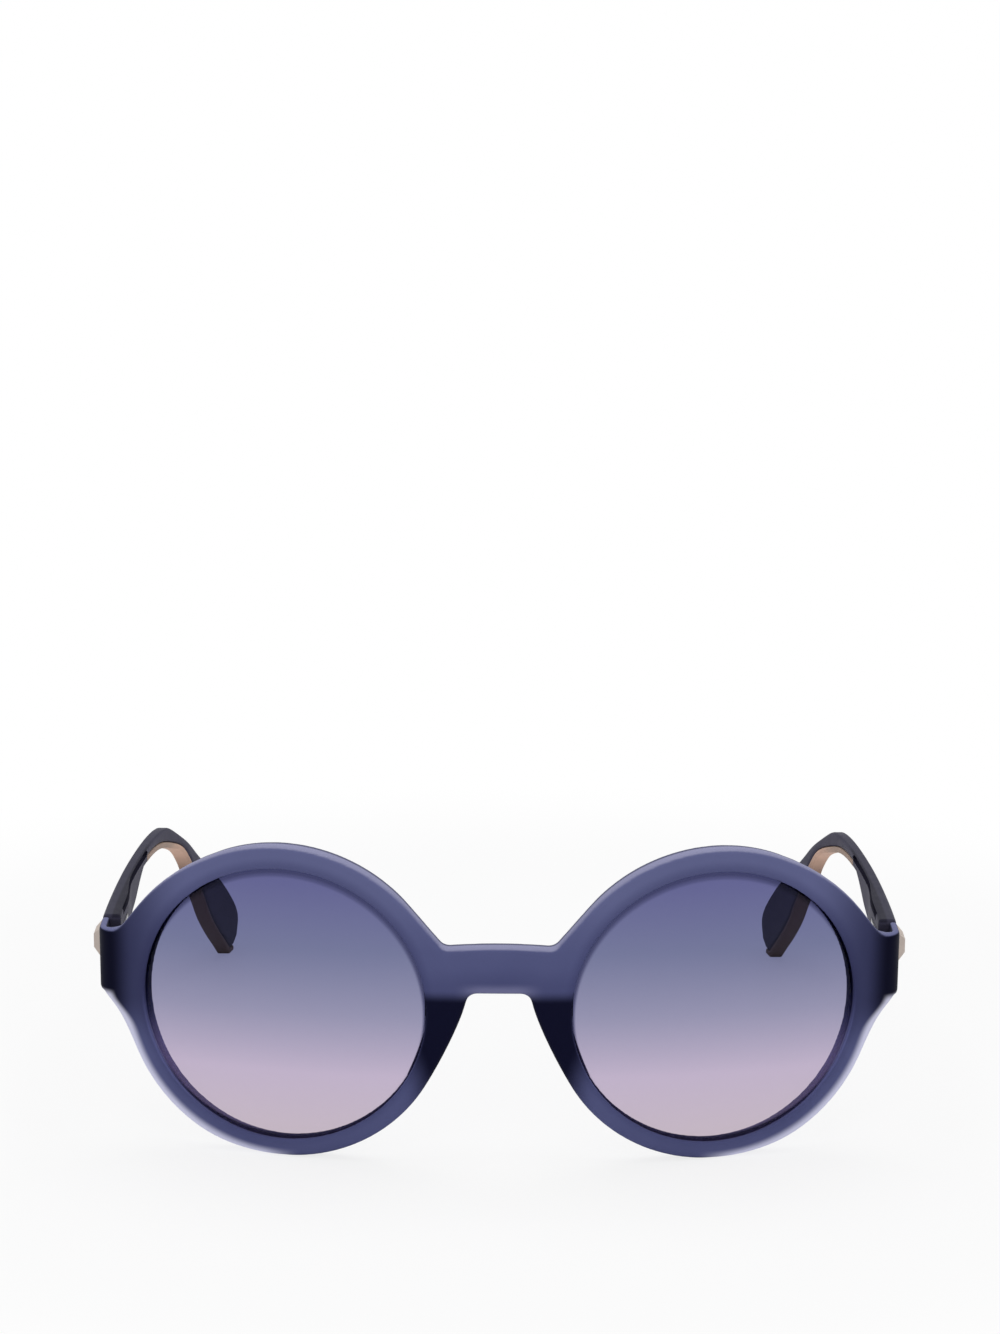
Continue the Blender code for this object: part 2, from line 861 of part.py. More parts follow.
def on_side(mesh, side):
    """Moves a piece drawn for the right, with y from the front's face, to its side and place."""
    mesh.transform(Matrix.Diagonal((side, 1, 1, 1)) @ Matrix.Translation((0, -middle_y, 0)))
    return tidy_mesh(mesh)


def plaque_block(side, grow):
    """The tan plaque, or with grow the pocket that takes it."""
    start = butt_y + plaque_setback
    half = plaque_height / 2
    low = (half_width - plaque_sunk - grow, start - grow, hinge_z - half - grow)
    high = (half_width + plaque_proud, start + plaque_length + grow, hinge_z + half + grow)
    mesh = box(low, high)
    if grow == 0:
        bm = bmesh.new()
        bm.from_mesh(mesh)
        outer = [e for e in bm.edges if all(v.co.x > half_width for v in e.verts)]
        bmesh.ops.bevel(bm, geom=outer, offset=plaque_chamfer, segments=1, affect="EDGES")
        bm.to_mesh(mesh)
        bm.free()
    return on_side(mesh, side)


def temple_mesh(side):
    """A plastic temple with its groove and the pockets for the leaf and the plaque."""
    mesh = bowed(temple_outline(), side)
    mesh = combined(mesh, groove_cutter(side), "DIFFERENCE")
    mesh = combined(mesh, temple_leaf_block(side, seat_gap), "DIFFERENCE")
    mesh = combined(mesh, plaque_block(side, seat_gap), "DIFFERENCE")
    for place in temple_screw_places(side):
        mesh = combined(mesh, screw_hole(place), "DIFFERENCE")
    return mesh


# The hinges


def knuckle(side, base, low, high):
    """A barrel round the hinge axis with an arm to the points of its base, drilled for the pin."""
    centre = (axis_x, axis_y)
    outline = hull(circle(centre, knuckle_radius, round_segments) + base)
    bore = circle(centre, pin_radius + pin_clearance, round_segments)
    mesh = sheet([outline, bore], high - low, 0)
    mesh.transform(Matrix.Translation((0, 0, low)))
    return on_side(mesh, side)


def screw_profile(grow):
    """Half section of a countersunk screw, head face at 0 and tip below. grow makes its hole."""
    head = leaf_screw_head_radius + grow
    shank = leaf_screw_shank_radius + grow
    seat = -(head - shank)
    tip = -leaf_screw_length - grow
    if grow == 0:
        return [(0, 0), (head, 0), (shank, seat), (shank, tip), (0, tip)]
    return [(0, overrun), (head, overrun), (head, 0), (shank, seat), (shank, tip), (0, tip)]


def screw_hole(place):
    return placed(turned(screw_profile(leaf_screw_gap), round_segments), place)


def front_screw_places(side):
    """The heads of the two screws in the front leaf, local z out of the leaf."""
    frame = front_leaf_frame(side)
    across = side * (front_leaf_width / 2 - front_screw_setback)
    proud = leaf_thickness - leaf_sunk
    out = Matrix.Rotation(-pi / 2, 4, "X")
    return [
        frame @ Matrix.Translation((across, proud, up * front_screw_spacing / 2)) @ out for up in (-1, 1)
    ]


def temple_screw_places(side):
    """The heads of the two screws in the temple leaf, local z towards the middle of the glasses."""
    x = inner_face_x - (leaf_thickness - leaf_sunk)
    start = axis_y + temple_leaf_setback + temple_screw_setback
    out = Matrix.Rotation(-side * pi / 2, 4, "Y")
    places = [start, start + temple_screw_spacing]
    return [Matrix.Translation((side * x, y - middle_y, hinge_z)) @ out for y in places]


def front_hinge_mesh(side):
    """The front leaf with the upper and the lower knuckle."""
    mesh = front_leaf_block(side, 0)
    frame = front_leaf_frame(1)
    reach = middle_knuckle_height / 2 + knuckle_gap
    top = hinge_height / 2
    for low, high in ((-top + knuckle_gap, -reach), (reach, top - knuckle_gap)):
        base = []
        for across in (front_leaf_width / 2 - front_arm_width, front_leaf_width / 2 - seat_gap):
            for out in (-leaf_sunk / 2, leaf_thickness - leaf_sunk):
                corner = frame @ Vector((across, out, (low + high) / 2))
                base.append((corner.x, corner.y + middle_y))
        mesh = combined(mesh, knuckle(side, base, hinge_z + low, hinge_z + high), "UNION")
    for place in front_screw_places(side):
        mesh = combined(mesh, screw_hole(place), "DIFFERENCE")
    return mesh


def temple_hinge_mesh(side):
    """The temple leaf with the middle knuckle."""
    mesh = temple_leaf_block(side, 0)
    near = axis_y + temple_leaf_setback
    inner = inner_face_x - (leaf_thickness - leaf_sunk)
    outer = inner_face_x + leaf_sunk / 2
    base = [(x, y) for x in (inner, outer) for y in (near + seat_gap, near + leaf_thickness)]
    half = middle_knuckle_height / 2
    mesh = combined(mesh, knuckle(side, base, hinge_z - half, hinge_z + half), "UNION")
    for place in temple_screw_places(side):
        mesh = combined(mesh, screw_hole(place), "DIFFERENCE")
    return mesh


def hinge_pin_mesh(side):
    """The screw that both leaves turn on: a plain shank with a flat head on top."""
    low = hinge_z - hinge_height / 2
    seat = hinge_z + hinge_height / 2
    profile = [
        (0, low),
        (pin_radius, low),
        (pin_radius, seat),
        (pin_head_radius, seat),
        (pin_head_radius, seat + pin_head_height),
        (0, seat + pin_head_height),
    ]
    mesh = turned(profile, round_segments)
    mesh.transform(Matrix.Translation((axis_x, axis_y, 0)))
    return on_side(mesh, side)


# Assembly


def build():
    for obj in list(bpy.data.objects):
        bpy.data.objects.remove(obj, do_unlink=True)

    navy = material("frosted_navy_plastic", (0.060, 0.068, 0.185), 0.55, alpha=0.9)
    arm_navy = material("satin_navy_plastic", (0.030, 0.028, 0.050), 0.45)
    tan = material("tan_plastic", (0.430, 0.290, 0.175), 0.50)
    tint = material("gradient_tint", (0.250, 0.230, 0.430), 0.05, alpha=0.45)
    metal = material("hinge_metal", (0.560, 0.550, 0.530), 0.30, metallic=1.0)

    add_piece("frame_front", front_frame_mesh(), navy)
    for side, hand in ((-1, "left"), (1, "right")):
        pivot = bpy.data.objects.new("hinge_axis_" + hand, None)
        pivot.location = (side * axis_x, axis_y - middle_y, hinge_z)
        bpy.context.collection.objects.link(pivot)
        add_piece("lens_" + hand, lens(side), tint)
        add_piece("front_hinge_" + hand, front_hinge_mesh(side), metal)
        add_piece("hinge_pin_" + hand, hinge_pin_mesh(side), metal)
        for height, place in zip(("lower", "upper"), front_screw_places(side)):
            screw = placed(turned(screw_profile(0), round_segments), place)
            add_piece("front_leaf_screw_" + height + "_" + hand, screw, metal)
        add_piece("temple_" + hand, temple_mesh(side), arm_navy, pivot)
        add_piece("tip_strip_" + hand, bowed(strip_outline(), side), tan, pivot)
        add_piece("side_plaque_" + hand, plaque_block(side, 0), tan, pivot)
        add_piece("temple_hinge_" + hand, temple_hinge_mesh(side), metal, pivot)
        for row, place in zip(("front", "rear"), temple_screw_places(side)):
            screw = placed(turned(screw_profile(0), round_segments), place)
            add_piece("temple_leaf_screw_" + row + "_" + hand, screw, metal, pivot)


build()
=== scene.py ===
"""The looks of the round sunglasses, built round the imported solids.

Lengths are in metres, in the frame of the solids: +Z up, the front faces -Y, the floor at z = 0, and
left and right as seen from the front. The front is drawn as a flat sheet, with s across it, z up it and
w through it from the outer face, and is then wrapped round its plan curve. The temples are drawn flat
in side view and then bowed.
"""

from math import asin, atan, cos, dist, pi, radians, sin, sqrt, tan

import bmesh
import bpy
from mathutils import Matrix, Vector


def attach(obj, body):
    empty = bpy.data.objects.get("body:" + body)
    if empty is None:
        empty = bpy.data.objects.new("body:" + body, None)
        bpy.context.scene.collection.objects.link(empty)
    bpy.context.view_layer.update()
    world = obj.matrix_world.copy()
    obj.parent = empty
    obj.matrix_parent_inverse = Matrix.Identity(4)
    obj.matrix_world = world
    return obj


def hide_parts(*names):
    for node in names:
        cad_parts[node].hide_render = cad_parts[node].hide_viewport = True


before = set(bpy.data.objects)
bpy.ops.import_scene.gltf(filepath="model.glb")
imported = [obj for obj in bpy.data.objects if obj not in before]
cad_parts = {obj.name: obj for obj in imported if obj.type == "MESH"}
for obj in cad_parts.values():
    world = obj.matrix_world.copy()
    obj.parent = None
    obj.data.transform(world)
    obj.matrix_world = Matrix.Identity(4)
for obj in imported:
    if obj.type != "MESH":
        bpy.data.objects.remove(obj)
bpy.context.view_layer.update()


# Overall sizes of the front
front_thickness = 0.0039
front_plan_radius = 0.190
front_lean = radians(7)
corner_plan_radius = 0.0036
return_length = 0.0051
return_thickness = 0.0015
wall_blend_lead = 0.0012
wall_blend_length = 0.0045
edge_round = 0.0005

# Rims and lens openings
aperture_diameter = 0.0538
lens_gap = 0.0270
upper_rim_width = 0.0046
lower_rim_width = 0.0035
aperture_chamfer = 0.0003
rest_flat_angle = radians(6)
outer_swell = 0.0005
outer_swell_turn = radians(30)

# Bridge and nose arch, measured from the lens centre line
bridge_rise = 0.0127
bridge_crown = 0.0005
bridge_height = 0.0088
bridge_fillet = 0.0022
crown_shares = (0.12, 0.36, 0.60)
arch_width = 0.0112
arch_side_drop = 0.0023
arch_side_flare = 0.0006
arch_corner_radius = 0.0020
rim_to_bridge_angle = radians(140)
rim_to_arch_angle = radians(-150)
nose_low_angle = radians(-120)
arch_lower_handle_share = 0.32
arch_upper_handle_share = 0.24

# End pieces, measured from the lens centre line
end_reach = 0.0031
end_top_rise = 0.0118
end_height = 0.0126
end_corner_fillet = 0.0010
end_lower_run = 0.0023
rim_to_end_angle = radians(68)
end_to_rim_angle = radians(-22.5)
end_upper_rim_share = 0.64
end_upper_tip_share = 0.14
end_lower_tip_share = 0.25
end_lower_rim_share = 0.45
end_lower_dip_share = 0.75

# Moulded nose pads
pad_height = 0.0180
pad_top_rise = 0.0012
pad_depth = 0.0054
pad_lean = 0.0016
pad_width_share = 0.80
pad_root_share = 0.45
pad_fullness = 0.65

# Lenses
lens_thickness = 0.0020
lens_edge_height = 0.0006
lens_dome = 0.0005
lens_edge_gap = 0.0003
groove_gap = 0.0003

# Temples in side view, from the butt at the front to the tip
overall_depth = 0.1431
temple_root_thickness = 0.0034
temple_mid_thickness = 0.0022
temple_ear_thickness = 0.0030
temple_bow = 0.0142
thick_root_share = 0.10
slim_start_share = 0.24
ear_start_share = 0.42
ear_full_share = 0.70

# Each pair is a share of the run from butt to tip, and a share of the end piece's top height
top_edge_shares = (
    (0.143, 1.002),
    (0.294, 1.007),
    (0.412, 1.007),
    (0.479, 1.002),
    (0.525, 0.991),
    (0.563, 0.967),
    (0.630, 0.882),
    (0.691, 0.794),
    (0.756, 0.680),
    (0.828, 0.559),
    (0.900, 0.434),
    (0.958, 0.308),
    (0.990, 0.218),
    (1.000, 0.147),
    (0.990, 0.062),
)
arm_under_shares = (
    (0.029, 0.716),
    (0.109, 0.749),
    (0.193, 0.794),
    (0.261, 0.836),
    (0.294, 0.872),
    (0.324, 0.908),
    (0.353, 0.936),
)
ear_under_shares = (
    (0.387, 0.936),
    (0.445, 0.929),
    (0.504, 0.910),
    (0.571, 0.860),
    (0.641, 0.787),
    (0.689, 0.692),
    (0.716, 0.616),
    (0.751, 0.509),
    (0.787, 0.403),
    (0.824, 0.287),
    (0.871, 0.171),
    (0.916, 0.073),
)
toe_share = 0.9479
foot_share = 0.9698

# Tan strip under the ear end
strip_thickness = 0.0012
seat_gap = 0.0003

# Groove along the inner face of each temple, drawn closer under the top edge than in the solids
groove_width = 0.0013
groove_depth = 0.0008
groove_drop = 0.0002
groove_start_share = 0.04
groove_end_share = 0.38

# Plaques on the outer side of the temples
plaque_length = 0.0080
plaque_height = 0.0058
plaque_proud = 0.0022
plaque_sunk = 0.0006
plaque_chamfer = 0.0016
plaque_setback = 0.0030

# Hinges
hinge_height = 0.0084
middle_knuckle_height = 0.0027
knuckle_radius = 0.0014
knuckle_gap = 0.00015
axis_inset = 0.00175
leaf_thickness = 0.0010
leaf_sunk = 0.0007
front_leaf_width = 0.0042
front_leaf_setback = 0.0030
front_arm_width = 0.0017
temple_leaf_length = 0.0095
temple_leaf_height = 0.0068
temple_leaf_setback = 0.0019
pin_radius = 0.0006
pin_clearance = 0.00015
pin_head_radius = 0.0012
pin_head_height = 0.0006

# Screws that hold the hinge leaves
leaf_screw_head_radius = 0.00075
leaf_screw_shank_radius = 0.00045
leaf_screw_length = 0.0021
leaf_screw_gap = 0.00015
front_screw_spacing = 0.0046
front_screw_setback = 0.0031
temple_screw_spacing = 0.0040
temple_screw_setback = 0.0035

# Small sizes that only the finished look has
soft_edge = 0.00092
arm_soft_edge = 0.00068
seen_gap = 0.00006
screw_slot_width = 0.0003
screw_slot_depth = 0.0003

# One overrun serves every cut, and one distance every weld
overrun = 0.0010
weld_distance = 0.000002

# Fineness of the surfaces
arc_step = radians(2.5)
sharp_angle = radians(35)
edge_steps = 3
blend_steps = 14
path_steps = 6
corner_steps = 8
front_slices = 54
corner_slices = 14
return_slices = 6
temple_slices = 60
lens_segments = 144
lens_rings = 8
round_segments = 40
pad_sections = 26
pad_section_points = 20
front_voxel = 0.00030
front_smooth_steps = 6


# Sizes that follow from those above
aperture_radius = aperture_diameter / 2
rim_radius = (upper_rim_width + aperture_diameter + lower_rim_width) / 2
half_spacing = (aperture_diameter + lens_gap) / 2
half_width = half_spacing + rim_radius + end_reach
rim_centre_z = rim_radius * cos(rest_flat_angle / 2)
rim_centre = (half_spacing, rim_centre_z)
lens_centre_z = lower_rim_width + aperture_radius
end_top_z = lens_centre_z + end_top_rise
end_bottom_z = end_top_z - end_height
hinge_z = end_top_z - end_height / 2
bridge_top_z = lens_centre_z + bridge_rise
arch_top_z = bridge_top_z - bridge_height

corner_start_angle = asin((half_width - corner_plan_radius) / (front_plan_radius - corner_plan_radius))
corner_start_s = front_plan_radius * corner_start_angle
corner_length = corner_plan_radius * (pi / 2 - corner_start_angle)
corner_end_s = corner_start_s + corner_length
corner_centre_x = (front_plan_radius - corner_plan_radius) * sin(corner_start_angle)
corner_centre_y = front_plan_radius - (front_plan_radius - corner_plan_radius) * cos(corner_start_angle)
front_end_s = corner_end_s + return_length
return_end_y = corner_centre_y + return_length
butt_y = return_end_y + seat_gap
inner_face_x = half_width - temple_root_thickness
axis_x = inner_face_x - axis_inset
axis_y = return_end_y
leaf_proud = leaf_thickness - leaf_sunk
temple_leaf_y = axis_y + temple_leaf_setback


def rim_lead(turn):
    """How far the leaned rim stands in front of the bridge's plan at an angle round it."""
    reach = rim_radius - edge_round
    s = half_spacing + reach * cos(turn)
    z = rim_centre_z + reach * sin(turn)
    return (z - hinge_z) * tan(front_lean) - front_plan_radius * (1 - cos(s / front_plan_radius))


front_lead = max(rim_lead(radians(turn)) for turn in range(90, 180))
tip_y = overall_depth - front_lead
middle_y = tip_y - overall_depth / 2
temple_run = tip_y - butt_y


# Outline helpers


def spread(start, end, count):
    """Places at equal steps from start to end, both included."""
    return [start + (end - start) * i / count for i in range(count + 1)]


def arc(centre, radius, start, end):
    """Points along an arc, both ends included, about one arc_step apart."""
    angles = spread(start, end, max(1, round(abs(end - start) / arc_step)))
    return [(centre[0] + radius * cos(a), centre[1] + radius * sin(a)) for a in angles]


def blend(start, start_handle, end_handle, end):
    """Points strictly between the two ends of a cubic curve."""
    corners = (start, start_handle, end_handle, end)
    points = []
    for t in spread(0, 1, blend_steps)[1:-1]:
        weights = ((1 - t) ** 3, 3 * t * (1 - t) ** 2, 3 * t * t * (1 - t), t**3)
        points.append(tuple(sum(w * c[k] for w, c in zip(weights, corners)) for k in (0, 1)))
    return points


def fillet(before, corner, after, radius):
    """Points of the arc that rounds a corner between two straight runs."""
    to_before = (Vector(before) - Vector(corner)).normalized()
    to_after = (Vector(after) - Vector(corner)).normalized()
    half_turn = to_before.angle(to_after) / 2
    centre = Vector(corner) + (to_before + to_after).normalized() * (radius / sin(half_turn))
    reach = radius / tan(half_turn)
    first = Vector(corner) + to_before * reach - centre
    last = Vector(corner) + to_after * reach - centre
    points = []
    for share in spread(0, 1, corner_steps):
        spoke = first.lerp(last, share)
        point = centre + spoke.normalized() * radius
        points.append((point.x, point.y))
    return points


def circle(centre, radius, segments):
    """A closed ring of points."""
    turns = [2 * pi * i / segments for i in range(segments)]
    return [(centre[0] + radius * cos(a), centre[1] + radius * sin(a)) for a in turns]


def smooth_path(points):
    """A Catmull-Rom curve through the points, with the first and last kept as they are."""
    path = [points[0]]
    for i in range(len(points) - 1):
        p0 = points[max(i - 1, 0)]
        p1 = points[i]
        p2 = points[i + 1]
        p3 = points[min(i + 2, len(points) - 1)]
        for t in spread(0, 1, path_steps)[1:]:
            path.append(
                tuple(
                    (
                        2 * p1[k]
                        + (p2[k] - p0[k]) * t
                        + (2 * p0[k] - 5 * p1[k] + 4 * p2[k] - p3[k]) * t**2
                        + (3 * p1[k] - p0[k] - 3 * p2[k] + p3[k]) * t**3
                    )
                    / 2
                    for k in (0, 1)
                )
            )
    return path


def offset_path(points, distance):
    """The path moved to its left by the distance, with each corner mitred."""
    runs = [(Vector(b) - Vector(a)).normalized() for a, b in zip(points, points[1:])]
    lefts = [Vector((-run.y, run.x)) for run in runs]
    moved = []
    for i, point in enumerate(points):
        left = lefts[min(i, len(lefts) - 1)]
        middle = (lefts[max(i - 1, 0)] + left).normalized()
        place = Vector(point) + middle * (distance / middle.dot(left))
        moved.append((place.x, place.y))
    return moved


def hull(points):
    """The convex outline round a set of points."""
    ordered = sorted(set(points))
    halves = []
    for sequence in (ordered, ordered[::-1]):
        chain = []
        for p in sequence:
            while len(chain) > 1:
                a = chain[-2]
                b = chain[-1]
                if (b[0] - a[0]) * (p[1] - a[1]) - (b[1] - a[1]) * (p[0] - a[0]) > 0:
                    break
                chain.pop()
            chain.append(p)
        halves += chain[:-1]
    return halves


def ease(share):
    """A smooth step from 0 to 1."""
    t = min(max(share, 0), 1)
    return t * t * (3 - 2 * t)


# Mesh helpers


def tidy_mesh(mesh):
    """Welds seams, drops flat faces and turns every face outwards."""
    bm = bmesh.new()
    bm.from_mesh(mesh)
    bmesh.ops.remove_doubles(bm, verts=bm.verts, dist=weld_distance)
    bmesh.ops.dissolve_degenerate(bm, edges=bm.edges, dist=weld_distance)
    bmesh.ops.recalc_face_normals(bm, faces=bm.faces)
    bm.to_mesh(mesh)
    bm.free()
    return mesh


def made_mesh(bm, name):
    """A tidied mesh of its own from an edit mesh, which is freed."""
    mesh = bpy.data.meshes.new(name)
    bm.to_mesh(mesh)
    bm.free()
    return tidy_mesh(mesh)


def added(name, data):
    """A new object in the scene, of a mesh, curve, lamp or camera."""
    obj = bpy.data.objects.new(name, data)
    bpy.context.collection.objects.link(obj)
    return obj


def evaluated_mesh(obj):
    """A copy of the object's mesh with its modifiers or bevel applied. The object is removed."""
    bpy.context.view_layer.update()
    graph = bpy.context.evaluated_depsgraph_get()
    mesh = bpy.data.meshes.new_from_object(obj.evaluated_get(graph))
    bpy.data.objects.remove(obj)
    return mesh


def sheet(loops, thickness, rounding):
    """A flat plate from closed outlines, lying from local z = 0 to its thickness, edges rounded."""
    curve = bpy.data.curves.new("outline", "CURVE")
    curve.dimensions = "2D"
    curve.fill_mode = "BOTH"
    curve.extrude = thickness / 2 - rounding
    curve.bevel_depth = rounding
    curve.bevel_resolution = edge_steps
    curve.offset = -rounding
    for loop in loops:
        spline = curve.splines.new("POLY")
        spline.points.add(len(loop) - 1)
        for point, place in zip(spline.points, loop):
            point.co = (place[0], place[1], 0, 1)
        spline.use_cyclic_u = True
    mesh = tidy_mesh(evaluated_mesh(added("outline", curve)))
    mesh.transform(Matrix.Translation((0, 0, thickness / 2)))
    return mesh


def slice_mesh(mesh, axis, places):
    """Adds edges where planes square to the axis cross the mesh, so that it can be bent."""
    bm = bmesh.new()
    bm.from_mesh(mesh)
    for place in places:
        point = [0, 0, 0]
        point[axis] = place
        normal = [0, 0, 0]
        normal[axis] = 1
        parts = bm.verts[:] + bm.edges[:] + bm.faces[:]
        bmesh.ops.bisect_plane(bm, geom=parts, dist=weld_distance, plane_co=point, plane_no=normal)
    bmesh.ops.triangulate(bm, faces=bm.faces)
    bm.to_mesh(mesh)
    bm.free()
    return mesh


def reshape(mesh, rule):
    """Moves every point of the mesh by a rule from its flat place to its real one."""
    for vertex in mesh.vertices:
        vertex.co = rule(*vertex.co)
    return tidy_mesh(mesh)


def turned(profile, segments):
    """A closed solid turned about local z from (radius, height) points, the first and last on the axis."""
    bm = bmesh.new()
    verts = [bm.verts.new((radius, 0, height)) for radius, height in profile]
    edges = [bm.edges.new(pair) for pair in zip(verts, verts[1:])]
    parts = verts + edges
    bmesh.ops.spin(bm, geom=parts, cent=(0, 0, 0), axis=(0, 0, 1), angle=2 * pi, steps=segments)
    return made_mesh(bm, "turned")


def box(low, high):
    """A block between two corners."""
    bm = bmesh.new()
    bmesh.ops.create_cube(bm, size=1)
    size = Vector(high) - Vector(low)
    middle = (Vector(high) + Vector(low)) / 2
    bmesh.ops.transform(bm, matrix=Matrix.Translation(middle) @ Matrix.Diagonal((*size, 1)), verts=bm.verts)
    return made_mesh(bm, "block")


def loft(sections):
    """A closed solid through a row of rings that have the same number of points."""
    bm = bmesh.new()
    rings = [[bm.verts.new(place) for place in section] for section in sections]
    count = len(rings[0])
    for near, far in zip(rings, rings[1:]):
        for i in range(count):
            j = (i + 1) % count
            bm.faces.new((near[i], near[j], far[j], far[i]))
    bm.faces.new(rings[0][::-1])
    bm.faces.new(rings[-1])
    bmesh.ops.triangulate(bm, faces=bm.faces)
    return made_mesh(bm, "loft")


def combined(mesh, tool, operation):
    """The mesh joined with, or cut by, a closed tool."""
    obj = added("body", mesh)
    other = added("tool", tool)
    modifier = obj.modifiers.new("combine", "BOOLEAN")
    modifier.operation = operation
    modifier.object = other
    result = evaluated_mesh(obj)
    bpy.data.objects.remove(other)
    return tidy_mesh(result)


def placed(mesh, matrix):
    """A copy of the mesh moved by a matrix."""
    copy = mesh.copy()
    copy.transform(matrix)
    return tidy_mesh(copy)


def softened(mesh, voxel, smooth_steps):
    """The mesh rebuilt as one even skin and smoothed, as moulded plastic has no sharp creases."""
    obj = added("skin", mesh)
    remesh = obj.modifiers.new("even skin", "REMESH")
    remesh.mode = "VOXEL"
    remesh.voxel_size = voxel
    smooth = obj.modifiers.new("soft creases", "SMOOTH")
    smooth.iterations = smooth_steps
    return evaluated_mesh(obj)


def crisp(mesh):
    """Shades the mesh smooth, with its hard edges kept and its flat faces left flat."""
    mesh.shade_smooth()
    mesh.set_sharp_from_angle(angle=sharp_angle)
    obj = added("shaded", mesh)
    weighted = obj.modifiers.new("flat faces", "WEIGHTED_NORMAL")
    weighted.keep_sharp = True
    return evaluated_mesh(obj)


def show(name, mesh, finish, slot, body, node):
    """Adds a finished piece that rides on a body and stands for the solid of a node."""
    mesh.name = name
    mesh.materials.clear()
    mesh.materials.append(finish)
    obj = added(name, mesh)
    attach(obj, body)
    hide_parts(node)


# The plan curve of the front


def front_point(s, w, z):
    """Wraps a place on the flat sheet round the plan curve and its corners, and leans it forward."""
    side = 1 if s >= 0 else -1
    run = abs(s)
    if run <= corner_start_s:
        angle = run / front_plan_radius
        x = front_plan_radius * sin(angle)
        y = front_plan_radius * (1 - cos(angle))
    elif run <= corner_end_s:
        angle = corner_start_angle + (run - corner_start_s) / corner_plan_radius
        x = corner_centre_x + corner_plan_radius * sin(angle)
        y = corner_centre_y - corner_plan_radius * cos(angle)
    else:
        angle = pi / 2
        x = half_width
        y = corner_centre_y + run - corner_end_s
    thinned = ease((run - corner_start_s + wall_blend_lead) / wall_blend_length)
    thinning = 1 + (return_thickness / front_thickness - 1) * thinned
    depth = w * thinning
    upright = ease((run - corner_start_s) / (front_end_s - corner_start_s))
    leaned = (z - hinge_z) * tan(front_lean) * (1 - upright)
    return Vector((side * (x - depth * sin(angle)), y + depth * cos(angle) - leaned - middle_y, z))


# The front


def rim_point(angle, reach=rim_radius):
    """The place at an angle and a reach from the centre of the right rim."""
    return (half_spacing + reach * cos(angle), rim_centre_z + reach * sin(angle))


def past(place, angle, reach):
    """The place moved clockwise, square to the rim's spoke at an angle."""
    return (place[0] + reach * sin(angle), place[1] - reach * cos(angle))


def bridge_outline():
    """Right half of the bridge's top edge, from the middle out to the rim."""
    angle = rim_to_bridge_angle
    touch = rim_point(angle)
    slope = (sin(angle), -cos(angle))
    drop = touch[1] - bridge_top_z
    corner = (touch[0] - slope[0] * drop / slope[1], bridge_top_z)
    crown = [(corner[0] * share, bridge_top_z + bridge_crown * (1 - share**2)) for share in crown_shares]
    return crown + fillet(crown[-1], corner, touch, bridge_fillet)


def upper_end_outline():
    """From the top of the rim down to the end piece's top edge."""
    start = rim_point(rim_to_end_angle)
    end = (corner_start_s, end_top_z)
    reach = dist(start, end)
    start_handle = past(start, rim_to_end_angle, reach * end_upper_rim_share)
    end_handle = (end[0] - reach * end_upper_tip_share, end[1])
    return blend(start, start_handle, end_handle, end) + [end]


def return_outline():
    """Round the rear end of the part that wraps back to the hinge."""
    top = (front_end_s, end_top_z)
    bottom = (front_end_s, end_bottom_z)
    upper = fillet((corner_start_s, end_top_z), top, bottom, end_corner_fillet)
    lower = fillet(top, bottom, (corner_start_s, end_bottom_z), end_corner_fillet)
    return upper + lower


def lower_end_outline():
    """From the end piece's lower edge down to the rim."""
    start = (corner_start_s + end_lower_run, end_bottom_z)
    end = lower_rim_outline()[0]
    reach = dist(start, end)
    first = reach * end_lower_tip_share
    start_handle = (start[0] - first, start[1] - first * end_lower_dip_share)
    end_handle = past(end, end_to_rim_angle, -reach * end_lower_rim_share)
    return [start] + blend(start, start_handle, end_handle, end)


def lower_rim_outline():
    """Down the outer side of the rim, a little wider than its circle, into the flat it stands on."""
    bottom = -pi / 2 + rest_flat_angle / 2
    steps = round((end_to_rim_angle - bottom) / arc_step)
    points = []
    for angle in spread(end_to_rim_angle, bottom, steps):
        reach = rim_radius + outer_swell * ease((angle - bottom) / outer_swell_turn)
        points.append(rim_point(angle, reach))
    return points


def arch_outline():
    """Right half of the nose arch, from the rim up to the middle."""
    start = rim_point(rim_to_arch_angle)
    corner = (arch_width / 2, arch_top_z)
    end = (corner[0] + arch_side_flare, corner[1] - arch_side_drop)
    reach = dist(start, end)
    last = reach * arch_upper_handle_share
    side = (Vector(end) - Vector(corner)).normalized()
    start_handle = past(start, rim_to_arch_angle, reach * arch_lower_handle_share)
    end_handle = (end[0] + last * side.x, end[1] + last * side.y)
    inner_corner = fillet(end, corner, (0, arch_top_z), arch_corner_radius)
    return blend(start, start_handle, end_handle, end) + inner_corner


def nose_edge(z):
    """How far the nose side of the rim stands from the middle at a height."""
    side = arc(rim_centre, rim_radius, nose_low_angle, rim_to_arch_angle) + arch_outline()
    for low, high in zip(side, side[1:]):
        if low[1] <= z <= high[1]:
            return low[0] + (high[0] - low[0]) * (z - low[1]) / (high[1] - low[1])
    return side[-1][0]


def front_outline():
    """The whole closed outline of the flat front."""
    half = bridge_outline()
    half += arc(rim_centre, rim_radius, rim_to_bridge_angle, rim_to_end_angle)
    half += upper_end_outline()
    half += return_outline()
    half += lower_end_outline()
    half += lower_rim_outline()
    half += arc(rim_centre, rim_radius, -pi / 2 - rest_flat_angle / 2, rim_to_arch_angle)
    half += arch_outline()
    return half + [(-x, z) for x, z in reversed(half)]


